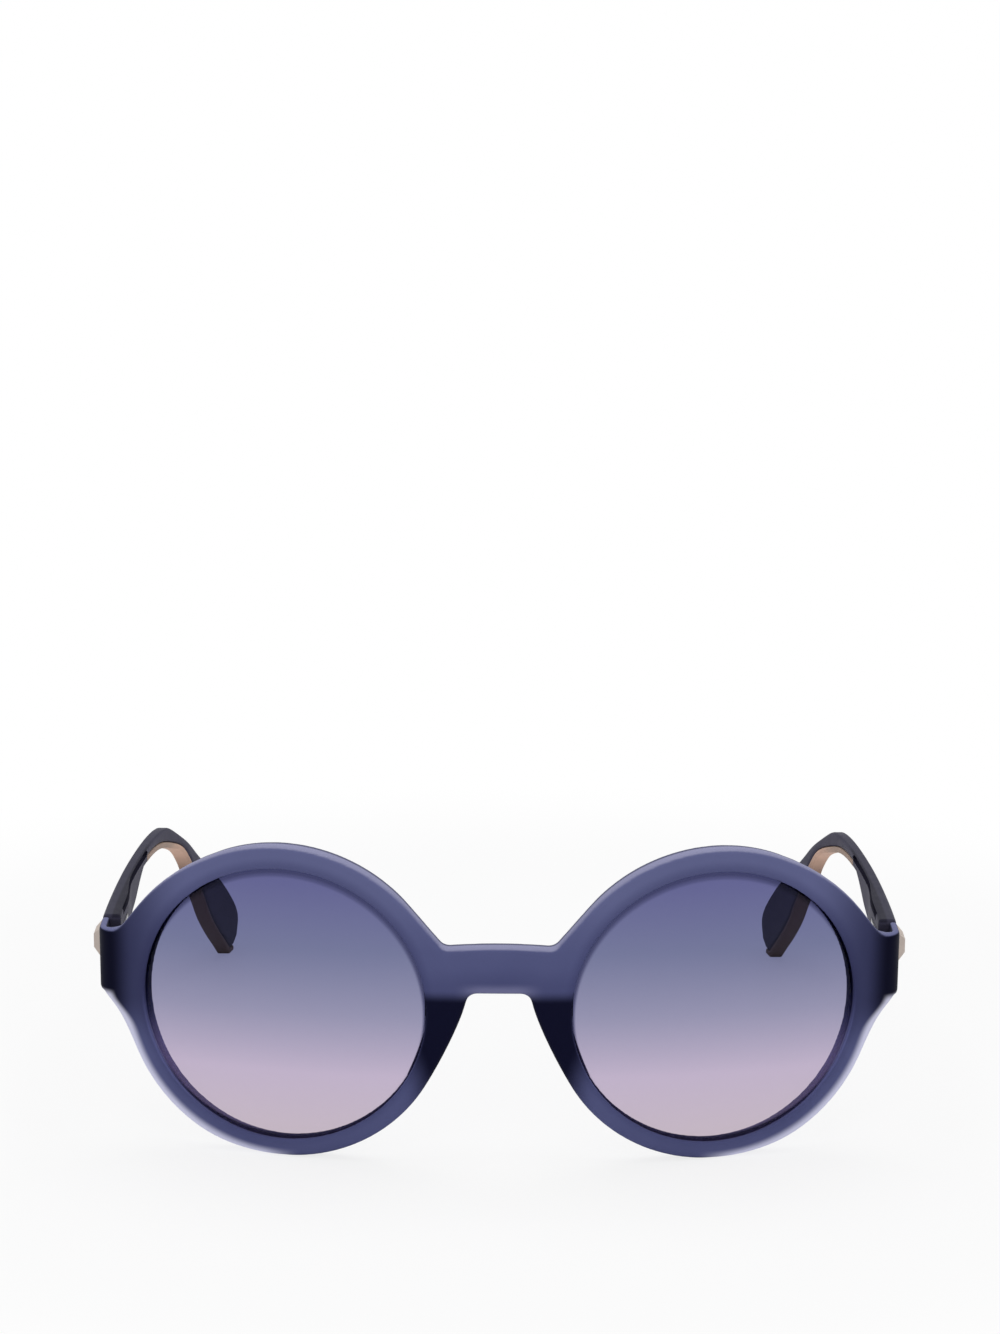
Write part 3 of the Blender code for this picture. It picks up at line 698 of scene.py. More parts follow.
def nose_pad(side):
    """A moulded pad that stands out behind the rim and leans away from the nose."""
    pad_top_z = lens_centre_z + pad_top_rise
    root = front_thickness * pad_root_share
    sections = []
    for share in spread(0, 1, pad_sections):
        z = pad_top_z - pad_height * (1 - share)
        inner = nose_edge(z)
        outer = half_spacing - sqrt(aperture_radius**2 - (z - lens_centre_z) ** 2)
        swell = sin(pi * share) ** pad_fullness
        middle = (inner + outer) / 2
        half = (outer - inner) / 2 * pad_width_share
        rear = front_thickness * (1 - pad_root_share) * pad_width_share + pad_depth * swell
        ring = []
        for turn in spread(0, pi, pad_section_points - 1):
            rise = sin(turn) ** pad_fullness
            s = middle + half * cos(turn) + pad_lean * swell * rise
            ring.append(front_point(side * s, root + rear * rise, z))
        sections.append(ring)
    return loft(sections)


def round_in_front(profile, side):
    """A solid turned about a lens centre from (radius, w) points, wrapped with the front."""
    mesh = turned(profile, lens_segments)
    return reshape(mesh, lambda a, b, w: front_point(side * half_spacing + a, w, lens_centre_z + b))


def aperture_cutter(side):
    """The lens opening, with a groove for the lens edge and a small chamfer at both faces."""
    middle = front_thickness / 2
    groove = lens_thickness / 2 + groove_gap
    edge = aperture_radius
    chamfered = edge + aperture_chamfer
    profile = [
        (0, -overrun),
        (chamfered, -overrun),
        (chamfered, 0),
        (edge, aperture_chamfer),
        (edge, middle - groove),
        (edge + lens_edge_height + groove_gap, middle),
        (edge, middle + groove),
        (edge, front_thickness - aperture_chamfer),
        (chamfered, front_thickness),
        (chamfered, front_thickness + overrun),
        (0, front_thickness + overrun),
    ]
    return round_in_front(profile, side)


def lens(side):
    """A domed lens with a ridge round its edge."""
    middle = front_thickness / 2
    half = lens_thickness / 2
    edge = aperture_radius - lens_edge_gap
    shares = spread(0, 1, lens_rings)[:-1]
    outer = [(edge * t, middle - half - lens_dome * (1 - t * t)) for t in shares]
    inner = [(edge * t, middle + half - lens_dome * (1 - t * t)) for t in reversed(shares)]
    ridge = [(edge, middle - half), (aperture_radius + lens_edge_height, middle), (edge, middle + half)]
    return round_in_front(outer + ridge + inner, side)


def front_leaf_frame(side):
    """Where the front leaf lies on the rear face: local x along it, local y out of it, local z up."""
    s = corner_start_s - front_leaf_setback
    angle = side * s / front_plan_radius
    centre = front_point(side * s, front_thickness, hinge_z)
    lean = atan(tan(front_lean) * cos(angle))
    return Matrix.Translation(centre) @ Matrix.Rotation(angle, 4, "Z") @ Matrix.Rotation(lean, 4, "X")


def front_leaf_block(side, grow):
    """The plate of the front leaf, or with grow the pocket that takes it."""
    half = front_leaf_width / 2 + grow
    proud = leaf_proud if grow == 0 else overrun
    low = (-half, -leaf_sunk - grow, -hinge_height / 2 - grow)
    high = (half, proud, hinge_height / 2 + grow)
    return placed(box(low, high), front_leaf_frame(side))


def front_frame_mesh():
    """The moulded front: rims, bridge, nose pads and wrapped end pieces in one piece."""
    mesh = sheet([front_outline()], front_thickness, soft_edge)
    places = spread(-corner_start_s, corner_start_s, front_slices)
    for side in (-1, 1):
        places += [side * s for s in spread(corner_start_s, corner_end_s, corner_slices)[1:]]
        places += [side * s for s in spread(corner_end_s, front_end_s, return_slices)[1:-1]]
    slice_mesh(mesh, 0, places)
    reshape(mesh, lambda s, z, w: front_point(s, w, z))
    for side in (-1, 1):
        mesh = combined(mesh, nose_pad(side), "UNION")
        mesh = combined(mesh, aperture_cutter(side), "DIFFERENCE")
        mesh = combined(mesh, front_leaf_block(side, seen_gap), "DIFFERENCE")
        mesh = drilled(mesh, front_screw_places(side))
    return mesh


# The temples, drawn flat in side view as (y, z) from the butt and bowed in plan


def side_points(shares):
    """Turns shares of the run and of the end piece's height into places."""
    return [(butt_y + temple_run * across, end_top_z * up) for across, up in shares]


def temple_outer_x(y):
    """How far the temple's outer face stands from the middle of the glasses."""
    share = (y - butt_y) / temple_run
    return half_width - temple_bow * max(share, 0) ** 2


def temple_thickness(y):
    """Thick at the hinge, slim along the arm and thicker again behind the ear."""
    share = (y - butt_y) / temple_run
    slim = ease((share - thick_root_share) / (slim_start_share - thick_root_share))
    full = ease((share - ear_start_share) / (ear_full_share - ear_start_share))
    arm = temple_root_thickness + (temple_mid_thickness - temple_root_thickness) * slim
    return arm + (temple_ear_thickness - temple_mid_thickness) * full


def temple_point(side, y, w, z):
    """Bows a place in the side view. w runs from 0 at the outer face to 1 at the inner face."""
    x = temple_outer_x(y) - w * temple_thickness(y)
    return Vector((side * x, y - middle_y, z))


def under_path():
    """The lower edge of the ear end, from the strip's front end to the foot of the tip."""
    ground = side_points([(toe_share, 0), (foot_share, 0)])
    return smooth_path(side_points(ear_under_shares)) + ground


def top_path():
    """The upper edge of the temple, from the butt round to the back of the tip."""
    start = (butt_y + end_corner_fillet, end_top_z)
    return smooth_path([start] + side_points(top_edge_shares))


def temple_outline():
    """The side view of the temple without its tan strip, clockwise from the butt."""
    upper = (butt_y, end_top_z)
    lower = (butt_y, end_bottom_z)
    top = top_path()
    arm = smooth_path([(butt_y + end_corner_fillet * 2, end_bottom_z)] + side_points(arm_under_shares))
    step = (under_path()[0][0] - seen_gap, under_path()[0][1])
    above_strip = offset_path(under_path(), strip_thickness + seen_gap)
    seat = [(step[0], above_strip[0][1])] + above_strip[1:]
    outline = fillet(lower, upper, top[1], end_corner_fillet)
    outline += top[1:]
    outline += seat[::-1]
    outline += [step]
    outline += arm[::-1][:-1]
    outline += fillet(arm[1], lower, upper, end_corner_fillet)
    return outline


def strip_outline():
    """The tan strip: the ear end's lower edge and a line inside it."""
    lower = under_path()
    upper = offset_path(lower, strip_thickness)
    return lower + upper[::-1]


def side_plate(outline, softness):
    """A flat plate cut to a side outline and sliced along the temple's run."""
    mesh = sheet([outline], temple_ear_thickness, softness)
    return slice_mesh(mesh, 0, spread(butt_y, tip_y, temple_slices)[1:-1])


def bowed(outline, side, softness=edge_round):
    """A plate cut to a side outline, bowed and thinned as the temple is."""
    mesh = side_plate(outline, softness)
    return reshape(mesh, lambda y, z, d: temple_point(side, y, 1 - d / temple_ear_thickness, z))


def groove_cutter(side):
    """A long shallow slot under the top edge of the inner face, with a pointed rear end."""
    start = butt_y + temple_run * groove_start_share
    end = butt_y + temple_run * groove_end_share
    top = [p for p in top_path() if start <= p[0] <= end]
    upper = [(y, z - groove_drop) for y, z in top]
    lower = [(y, z - groove_drop - groove_width) for y, z in top]
    nose = (end + groove_width / 2, (upper[-1][1] + lower[-1][1]) / 2)

    def place(y, z, d):
        share = d / temple_ear_thickness
        floor = 1 - groove_depth / temple_thickness(y)
        beyond = 1 + overrun / temple_thickness(y)
        return temple_point(side, y, floor + (beyond - floor) * share, z)

    return reshape(side_plate(upper + [nose] + lower[::-1], 0), place)


def temple_leaf_block(side, grow):
    """The plate of the temple leaf, or with grow the pocket that takes it and runs out at the butt."""
    proud = leaf_proud if grow == 0 else overrun
    near = temple_leaf_y if grow == 0 else butt_y - overrun
    low = (inner_face_x - proud, near, hinge_z - temple_leaf_height / 2 - grow)
    far = temple_leaf_y + temple_leaf_length + grow
    high = (inner_face_x + leaf_sunk + grow, far, hinge_z + temple_leaf_height / 2 + grow)
    return on_side(box(low, high), side)


def on_side(mesh, side):
    """Moves a piece drawn for the right, with y from the front's face, to its side and place."""
    mesh.transform(Matrix.Diagonal((side, 1, 1, 1)) @ Matrix.Translation((0, -middle_y, 0)))
    return tidy_mesh(mesh)


def plaque_block(side, grow):
    """The tan plaque, or with grow the pocket that takes it."""
    start = butt_y + plaque_setback
    half = plaque_height / 2
    low = (half_width - plaque_sunk - grow, start - grow, hinge_z - half - grow)
    high = (half_width + plaque_proud, start + plaque_length + grow, hinge_z + half + grow)
    mesh = box(low, high)
    if grow == 0:
        bm = bmesh.new()
        bm.from_mesh(mesh)
        outer = [e for e in bm.edges if all(v.co.x > half_width for v in e.verts)]
        bmesh.ops.bevel(bm, geom=outer, offset=plaque_chamfer, segments=1, affect="EDGES")
        bm.to_mesh(mesh)
        bm.free()
    return on_side(mesh, side)


def temple_mesh(side):
    """A plastic temple with its groove and the pockets for the leaf and the plaque."""
    mesh = bowed(temple_outline(), side, arm_soft_edge)
    mesh = combined(mesh, groove_cutter(side), "DIFFERENCE")
    mesh = combined(mesh, temple_leaf_block(side, seen_gap), "DIFFERENCE")
    mesh = combined(mesh, plaque_block(side, seen_gap), "DIFFERENCE")
    return drilled(mesh, temple_screw_places(side))


# The hinges


def knuckle(side, base, low, high):
    """A barrel round the hinge axis with an arm to the points of its base, drilled for the pin."""
    centre = (axis_x, axis_y)
    outline = hull(circle(centre, knuckle_radius, round_segments) + base)
    bore = circle(centre, pin_radius + pin_clearance, round_segments)
    mesh = sheet([outline, bore], high - low, 0)
    mesh.transform(Matrix.Translation((0, 0, low)))
    return on_side(mesh, side)


def screw_profile(grow):
    """Half section of a countersunk screw, head face at 0 and tip below. grow makes its hole."""
    head = leaf_screw_head_radius + grow
    shank = leaf_screw_shank_radius + grow
    seat = -(head - shank)
    tip = -leaf_screw_length - grow
    if grow == 0:
        return [(0, 0), (head, 0), (shank, seat), (shank, tip), (0, tip)]
    return [(0, overrun), (head, overrun), (head, 0), (shank, seat), (shank, tip), (0, tip)]


def drilled(mesh, places):
    """The mesh with a countersunk hole for the screw at each place."""
    for place in places:
        hole = placed(turned(screw_profile(leaf_screw_gap), round_segments), place)
        mesh = combined(mesh, hole, "DIFFERENCE")
    return mesh


def front_screw_places(side):
    """The heads of the two screws in the front leaf, local z out of the leaf."""
    leaf = front_leaf_frame(side)
    across = side * (front_leaf_width / 2 - front_screw_setback)
    out = Matrix.Rotation(-pi / 2, 4, "X")
    heights = (-front_screw_spacing / 2, front_screw_spacing / 2)
    return [leaf @ Matrix.Translation((across, leaf_proud, height)) @ out for height in heights]


def temple_screw_places(side):
    """The heads of the two screws in the temple leaf, local z towards the middle of the glasses."""
    x = inner_face_x - leaf_proud
    start = temple_leaf_y + temple_screw_setback
    out = Matrix.Rotation(-side * pi / 2, 4, "Y")
    places = [start, start + temple_screw_spacing]
    return [Matrix.Translation((side * x, y - middle_y, hinge_z)) @ out for y in places]


def front_hinge_mesh(side):
    """The front leaf with the upper and the lower knuckle."""
    mesh = front_leaf_block(side, 0)
    leaf = front_leaf_frame(1)
    reach = middle_knuckle_height / 2 + knuckle_gap
    top = hinge_height / 2
    for low, high in ((-top + knuckle_gap, -reach), (reach, top - knuckle_gap)):
        base = []
        for across in (front_leaf_width / 2 - front_arm_width, front_leaf_width / 2 - seat_gap):
            for out in (-leaf_sunk / 2, leaf_proud):
                corner = leaf @ Vector((across, out, (low + high) / 2))
                base.append((corner.x, corner.y + middle_y))
        mesh = combined(mesh, knuckle(side, base, hinge_z + low, hinge_z + high), "UNION")
    return drilled(mesh, front_screw_places(side))


def temple_hinge_mesh(side):
    """The temple leaf with the middle knuckle."""
    mesh = temple_leaf_block(side, 0)
    across = (inner_face_x - leaf_proud, inner_face_x + leaf_sunk / 2)
    along = (temple_leaf_y + seat_gap, temple_leaf_y + leaf_thickness)
    base = [(x, y) for x in across for y in along]
    half = middle_knuckle_height / 2
    mesh = combined(mesh, knuckle(side, base, hinge_z - half, hinge_z + half), "UNION")
    return drilled(mesh, temple_screw_places(side))


def hinge_pin_mesh(side):
    """The screw that both leaves turn on: a plain shank with a flat head on top."""
    low = hinge_z - hinge_height / 2
    seat = hinge_z + hinge_height / 2
    profile = [
        (0, low),
        (pin_radius, low),
        (pin_radius, seat),
        (pin_head_radius, seat),
        (pin_head_radius, seat + pin_head_height),
        (0, seat + pin_head_height),
    ]
    mesh = turned(profile, round_segments)
    mesh.transform(Matrix.Translation((axis_x, axis_y, 0)))
    return on_side(mesh, side)


def driver_slot(radius):
    """The cutter for the slot of a screw whose head face lies at local z = 0."""
    half = screw_slot_width / 2
    return box((-radius - overrun, -half, -screw_slot_depth), (radius + overrun, half, overrun))


def leaf_screw_mesh(place):
    """A countersunk screw with a slot in its head."""
    mesh = turned(screw_profile(0), round_segments)
    mesh = combined(mesh, driver_slot(leaf_screw_head_radius), "DIFFERENCE")
    return placed(mesh, place)


def slotted_pin_mesh(side):
    """The hinge screw with a slot across its flat head."""
    head_z = hinge_z + hinge_height / 2 + pin_head_height
    head_face = Matrix.Translation((side * axis_x, axis_y - middle_y, head_z))
    return combined(hinge_pin_mesh(side), placed(driver_slot(pin_head_radius), head_face), "DIFFERENCE")


# Material helpers


class Value:
    """A number that changes over a surface. Sums written with it add their Math nodes."""

    def __init__(self, finish, socket):
        self.finish = finish
        self.socket = socket

    def maths(self, operation, first, second):
        node = self.finish.node("ShaderNodeMath", {"operation": operation}, {0: first, 1: second})
        return Value(self.finish, node.outputs[0])

    def __add__(self, other):
        return self.maths("ADD", self, other)

    def __radd__(self, other):
        return self.maths("ADD", other, self)

    def __sub__(self, other):
        return self.maths("SUBTRACT", self, other)

    def __rsub__(self, other):
        return self.maths("SUBTRACT", other, self)

    def __mul__(self, other):
        return self.maths("MULTIPLY", self, other)

    def __rmul__(self, other):
        return self.maths("MULTIPLY", other, self)

    def __truediv__(self, other):
        return self.maths("DIVIDE", self, other)

    def __pow__(self, other):
        return self.maths("POWER", self, other)

    def __abs__(self):
        return self.maths("ABSOLUTE", self, 0)

    def arcsine(self):
        return self.maths("ARCSINE", self, 0)


class Finish:
    """A node tree, of a material or of the world, that is built up one node at a time."""

    def __init__(self, owner):
        owner.use_nodes = True
        self.owner = owner
        self.tree = owner.node_tree
        self.tree.nodes.clear()

    def node(self, kind, settings, inputs):
        """Adds a node: its settings first, then the value or the link of each socket named."""
        node = self.tree.nodes.new(kind)
        for name, setting in settings.items():
            setattr(node, name, setting)
        for key, given in inputs.items():
            self.feed(node.inputs[key], given)
        return node

    def feed(self, socket, given):
        """Sets a socket to a plain value, or links it."""
        if isinstance(given, Value):
            given = given.socket
        if isinstance(given, bpy.types.NodeSocket):
            self.tree.links.new(given, socket)
        else:
            socket.default_value = given

    def places(self):
        """The place on the piece, in metres, as three Values and as one vector."""
        vector = self.node("ShaderNodeTexCoord", {}, {}).outputs["Object"]
        parts = self.node("ShaderNodeSeparateXYZ", {}, {0: vector}).outputs
        return [Value(self, part) for part in parts] + [vector]

    def facing_up(self):
        """How far the surface faces up, from -1 to 1."""
        vector = self.node("ShaderNodeTexCoord", {}, {}).outputs["Normal"]
        return Value(self, self.node("ShaderNodeSeparateXYZ", {}, {0: vector}).outputs[2])

    def rise(self, value, low, high, shape="SMOOTHSTEP"):
        """A mask that goes from 0 at low to 1 at high. high may be the lower number."""
        settings = {"interpolation_type": shape}
        inputs = {"Value": value, "From Min": low, "From Max": high}
        return Value(self, self.node("ShaderNodeMapRange", settings, inputs).outputs["Result"])

    def grain(self, vector, scale, detail=2.0):
        """Soft noise round 0.5, with scale in waves a metre."""
        inputs = {"Vector": vector, "Scale": scale, "Detail": detail, "Roughness": 0.5}
        return Value(self, self.node("ShaderNodeTexNoise", {}, inputs).outputs[0])

    def stretched(self, vector, scales):
        """The place with each direction scaled, for grain that runs one way."""
        settings = {"operation": "MULTIPLY"}
        return self.node("ShaderNodeVectorMath", settings, {0: vector, 1: scales}).outputs[0]

    def mixed(self, factor, first, second):
        """The colour that goes from the first to the second as the factor goes from 0 to 1."""
        settings = {"data_type": "RGBA"}
        return self.node("ShaderNodeMix", settings, {0: factor, 6: first, 7: second}).outputs[2]

    def layered(self, colour, layers):
        """A colour under layers, each a mask, its strength and the colour it brings."""
        for mask, strength, shown in layers:
            colour = self.mixed(mask * strength, colour, srgb(*shown))
        return colour

    def mixed_shader(self, factor, first, second):
        return self.node("ShaderNodeMixShader", {}, {0: factor, 1: first, 2: second}).outputs[0]

    def bump(self, height, depth):
        """A normal from a height whose whole range stands for the depth in metres."""
        inputs = {"Height": height, "Distance": depth, "Strength": 1.0}
        return self.node("ShaderNodeBump", {}, inputs).outputs[0]

    def principled(self, inputs):
        return self.node("ShaderNodeBsdfPrincipled", {}, inputs).outputs[0]

    def done(self, shader):
        ending = "Material" if isinstance(self.owner, bpy.types.Material) else "World"
        self.node("ShaderNodeOutput" + ending, {}, {"Surface": shader})
        return self.owner


def srgb(red, green, blue):
    """A linear colour from the 0 to 255 values that a screen shows."""
    parts = [part / 255 for part in (red, green, blue)]
    return (*[part / 12.92 if part < 0.04045 else ((part + 0.055) / 1.055) ** 2.4 for part in parts], 1)


# Materials

# Where painted light and shade change the colour of the front. Each pair goes from none to full. A z is a
# height, a run is along the plan curve from the middle, across is straight from the middle, a radius is
# from the rim's centre, a depth is from the front face, and a slope is how far the surface faces up.
lit_top_z = (0.0400, 0.0540)
shade_beside_bridge_run = (0.0200, 0.0110)
shade_beside_bridge_z = (0.0410, 0.0350)
lit_under_bridge_run = (0.0085, 0.0030)
lit_under_bridge_z = (0.0368, 0.0348)
shaded_rim_inside_radius = (0.0290, 0.0268)
lit_seat_radius = (0.0275, 0.0271)
lit_seat_z = (0.0330, 0.0220)
lit_behind_lens_depth = (0.0018, 0.0024)
lit_behind_lens_z = (0.0280, 0.0180)
lit_slope = (0.25, 0.75)
lit_radius = (0.0280, 0.0300)
unlit_across = (0.0650, 0.0710)
rear_shade_slope = (0.3, 0.7)
rear_shade_depth = (0.0018, 0.0025)
rear_shade_across = (0.0670, 0.0630)
nose_shade_run = (0.0215, 0.0150)
nose_shade_z = (0.0352, 0.0325)
shade_slope = (0.8, 0.2)
shade_across = (0.0560, 0.0715)
shade_z = (0.0180, 0.0300)
end_shade_slope = (0.9, 0.3)
end_shade_across = (0.0680, 0.0722)
glow_run = (0.0370, 0.0450)
glow_z = (0.0305, 0.0290)
glow_radius = (0.0291, 0.0308)
glow_depth = (0.0028, 0.0012)

# The share of the light on the tops that is lost towards the ends
unlit_share = 0.75

# The share that the glow keeps at the back, and how much further out it starts as the rim widens upwards
glow_behind = 0.35
flare_z = (0.0190, 0.0300)
flare_width = 0.0036

# The painted shade of the nose side ends higher the nearer it is to the lens
nose_shade_slant = 1.4
nose_shade_slant_z = (0.0532, 0.0622)

# The tint of the lens at heights from its top down, and its dark border, which is centred lower than the
# lens, as the rim's top shades it most
tint_stops = (
    (0.0545, (101, 102, 149)),
    (0.0416, (118, 122, 157)),
    (0.0289, (152, 150, 179)),
    (0.0168, (197, 183, 206)),
    (0.0044, (203, 189, 201)),
)
border_drop = 0.0012
border_radius = (0.0262, 0.0269)
border_strength = 0.75
border_shown = (118, 120, 152)
lens_gloss_index = 1.20

# The painted shade of the temples, where inward is in from the outer face and share is along the run, and
# of the tan pieces
arm_top_shade_slope = (0.2, 0.8)
groove_shade_inward = (0.0015, 0.0020)
groove_shade_share = (0.44, 0.38)
upper_shade_z = (0.0345, 0.0385)
shaded_z = (0.0340, 0.0240)

# The fine speck of all plastic and the lines of the metal
speck_scale = 5200
speck_depth = 0.000004
blotch_roughness = 0.12
brush_scales = (900, 900, 9000)
brush_depth = 0.000006


def plastic(finish, place, colour, roughness, blotch_scale, gloss, glow=None):
    """Moulded plastic with a fine speck, a roughness that varies in blotches and, where given, a glow."""
    speck = finish.grain(place, speck_scale, detail=3.0)
    inputs = {
        "Base Color": colour,
        "Roughness": roughness + blotch_roughness * finish.grain(place, blotch_scale),
        "Specular IOR Level": gloss,
        "Normal": finish.bump(speck, speck_depth),
    }
    if glow:
        inputs["Emission Color"] = glow
        inputs["Emission Strength"] = 1.0
    return finish.done(finish.principled(inputs))


def frosted_navy():
    """The moulded front: cloudy navy plastic with painted light and shade, painted dark where it is thick
    and with a painted glow at its thin edges.
    """
    finish = Finish(bpy.data.materials.new("frosted_navy"))
    rise = finish.rise
    x, y, z, place = finish.places()
    up = finish.facing_up()
    across = abs(x)
    run = front_plan_radius * (across / front_plan_radius).arcsine()
    radius = ((run - half_spacing) ** 2 + (z - rim_centre_z) ** 2) ** 0.5
    depth = y + middle_y + (z - hinge_z) * tan(front_lean) - front_plan_radius
    depth = depth + (front_plan_radius**2 - across**2) ** 0.5

    # Painted shade beside the bridge
    shade_beside_bridge = rise(run, *shade_beside_bridge_run) * rise(z, *shade_beside_bridge_z)
    # Painted light under the bridge
    lit_under_bridge = rise(run, *lit_under_bridge_run) * rise(z, *lit_under_bridge_z)
    # Painted light on the shaded wall of the lens seat
    seat = rise(radius, *lit_seat_radius) * rise(z, *lit_seat_z)
    # Painted glow on the wall behind the lens
    lit_behind_lens = seat * rise(depth, *lit_behind_lens_depth) * rise(z, *lit_behind_lens_z)
    lit = rise(up, *lit_slope) * rise(radius, *lit_radius) * (1 - unlit_share * rise(across, *unlit_across))
    # Painted shade along the rear of the tops
    rear = rise(depth, *rear_shade_depth) * rise(up, *rear_shade_slope) * rise(across, *rear_shade_across)
    # Painted shade on the nose side
    nose = rise(run, *nose_shade_run) * rise(z, *nose_shade_z) * rise(z + nose_shade_slant * radius, *nose_shade_slant_z)
    shade = rise(across, *shade_across) * rise(z, *shade_z) * rise(up, *shade_slope)
    # Painted shade on the sides of the end pieces
    ends = rise(across, *end_shade_across) * rise(up, *end_shade_slope)
    # A painted glow at the thin outer edges, as of light coming through the plastic
    flare = rise(z, *flare_z) ** 3 * flare_width
    outer = rise(run, *glow_run) * rise(z, *glow_z)
    thin = rise(radius - flare, *glow_radius) * outer
    thin = thin * (glow_behind + (1 - glow_behind) * rise(depth, *glow_depth))

    base = finish.mixed(finish.grain(place, scale=90), srgb(80, 84, 126), srgb(90, 94, 136))
    layers = (
        # Painted light: the upper part is lighter, as lit from above
        (rise(z, *lit_top_z), 0.5, (112, 116, 158)),
        # Painted shade beside the bridge
        (shade_beside_bridge, 0.3, (44, 46, 88)),
        # Painted shade towards the inside of the rim
        (rise(radius, *shaded_rim_inside_radius), 0.4, (54, 56, 98)),
        # Painted light on the wall of the lens seat
        (seat, 0.35, (104, 108, 152)),
        (lit, 0.75, (152, 152, 182)),
        # Painted shade along the rear of the tops
        (rear, 0.8, (48, 51, 80)),
        # Painted light under the bridge
        (lit_under_bridge, 0.7, (128, 129, 166)),
        # Painted shade on the nose side
        (nose, 1, (12, 13, 38)),
        (shade, 0.72, (20, 21, 52)),
        # Painted shade on the sides of the end pieces
        (ends, 1, (9, 10, 32)),
        # Painted light at the thin outer edges
        (thin, 0.7, (188, 188, 206)),
    )
    glows = (
        # Painted glow on the wall of the lens seat
        (seat, 1, (34, 35, 60)),
        # Painted glow on the wall behind the lens
        (lit_behind_lens, 1, (88, 84, 106)),
        # Painted glow at the thin outer edges
        (thin, 1, (134, 134, 150)),
    )
    colour = finish.layered(base, layers)
    glow = finish.layered((0, 0, 0, 1), glows)
    return plastic(finish, place, colour, roughness=0.42, blotch_scale=500, gloss=0.04, glow=glow)


def lens_tint():
    """The lens: bluish at the top and rosy at the bottom, with a faint gloss."""
    finish = Finish(bpy.data.materials.new("lens_tint"))
    x, _, z, place = finish.places()
    clear = None
    for i, (height, shown) in enumerate(tint_stops):
        tint = (*[sqrt(part) for part in srgb(*shown)[:3]], 1)
        layer = finish.node("ShaderNodeBsdfTransparent", {}, {"Color": tint}).outputs[0]
        if clear is None:
            clear = layer
        else:
            above = tint_stops[i - 1][0]
            clear = finish.mixed_shader(finish.rise(z, above, height, "LINEAR"), clear, layer)
    across = front_plan_radius * (abs(x) / front_plan_radius).arcsine() - half_spacing
    radius = (across**2 + (z - lens_centre_z + border_drop) ** 2) ** 0.5
    dark = finish.node("ShaderNodeBsdfTransparent", {}, {"Color": srgb(*border_shown)}).outputs[0]
    clear = finish.mixed_shader(finish.rise(radius, *border_radius) * border_strength, clear, dark)
    roughness = 0.05 + 0.05 * finish.grain(place, scale=60)
    gloss = finish.node("ShaderNodeBsdfGlossy", {}, {"Roughness": roughness}).outputs[0]
    edge = finish.node("ShaderNodeFresnel", {}, {"IOR": lens_gloss_index}).outputs[0]
    return finish.done(finish.mixed_shader(edge, clear, gloss))


def satin_navy():
    """The temples: the same plastic, thicker and darker, with a satin skin, and painted shade on their tops
    and in the groove.
    """
    finish = Finish(bpy.data.materials.new("satin_navy"))
    x, y, _, place = finish.places()
    # Painted shade on the tops of the temples
    up = finish.rise(finish.facing_up(), *arm_top_shade_slope)
    share = (y + middle_y - butt_y) / temple_run
    inward = half_width - temple_bow * share**2 - abs(x)
    # Painted shade of the groove beside the inner edge of the tops
    groove_shade = finish.rise(inward, *groove_shade_inward) * up * finish.rise(share, *groove_shade_share)
    base = finish.mixed(finish.grain(place, scale=70), srgb(58, 56, 74), srgb(68, 66, 84))
    colour = finish.layered(base, ((up, 0.6, (38, 38, 54)), (groove_shade, 0.85, (24, 23, 38))))
    return plastic(finish, place, colour, roughness=0.40, blotch_scale=400, gloss=0.04)


def tan_plastic(name, dark, pale, shaded, upper_shade):
    """Tan moulded plastic with a slight mottle, with painted shade that greys its top and painted shade low
    down.
    """
    finish = Finish(bpy.data.materials.new(name))
    z, place = finish.places()[2:]
    base = finish.mixed(finish.grain(place, scale=260, detail=4.0), srgb(*dark), srgb(*pale))
    layers = (
        # Painted shade that greys the upper part of the strip
        (finish.rise(z, *upper_shade_z), upper_shade, (146, 132, 122)),
        (finish.rise(z, *shaded_z), shaded, (60, 46, 46)),
    )
    colour = finish.layered(base, layers)
    return plastic(finish, place, colour, roughness=0.45, blotch_scale=500, gloss=0.06)


def brushed_metal(name, dark, pale):
    """Bright hinge metal with fine lines along it."""
    finish = Finish(bpy.data.materials.new(name))
    lines = finish.grain(finish.stretched(finish.places()[3], brush_scales), scale=1.0)
    inputs = {
        "Base Color": finish.mixed(lines, srgb(*dark), srgb(*pale)),
        "Metallic": 1.0,
        "Roughness": 0.22 + 0.16 * lines,
        "Normal": finish.bump(lines, brush_depth),
    }
    return finish.done(finish.principled(inputs))


# The set

camera_place = (0.0005, -0.7504, 0.2522)
camera_direction = (-0.0010, 1, -0.2301)
camera_roll = 0.0062
camera_lens = 140.58
camera_sensor = 36
camera_near = 0.01

floor_half = 2.0
floor_cells = 8
floor_drop = 0.00005
floor_glow = 0.78
floor_white_reach = (0.132, 0.220)
world_level = 0.55

# The name, place, width, depth and power of each lamp, all turned to one aim
lamp_aim = (0, 0, 0.02)
lamps = (
    ("top_light", (0, 0.05, 0.75), 0.7, 0.7, 2.6),
    ("front_light", (0, -0.9, 0.55), 0.9, 0.5, 1.6),
)


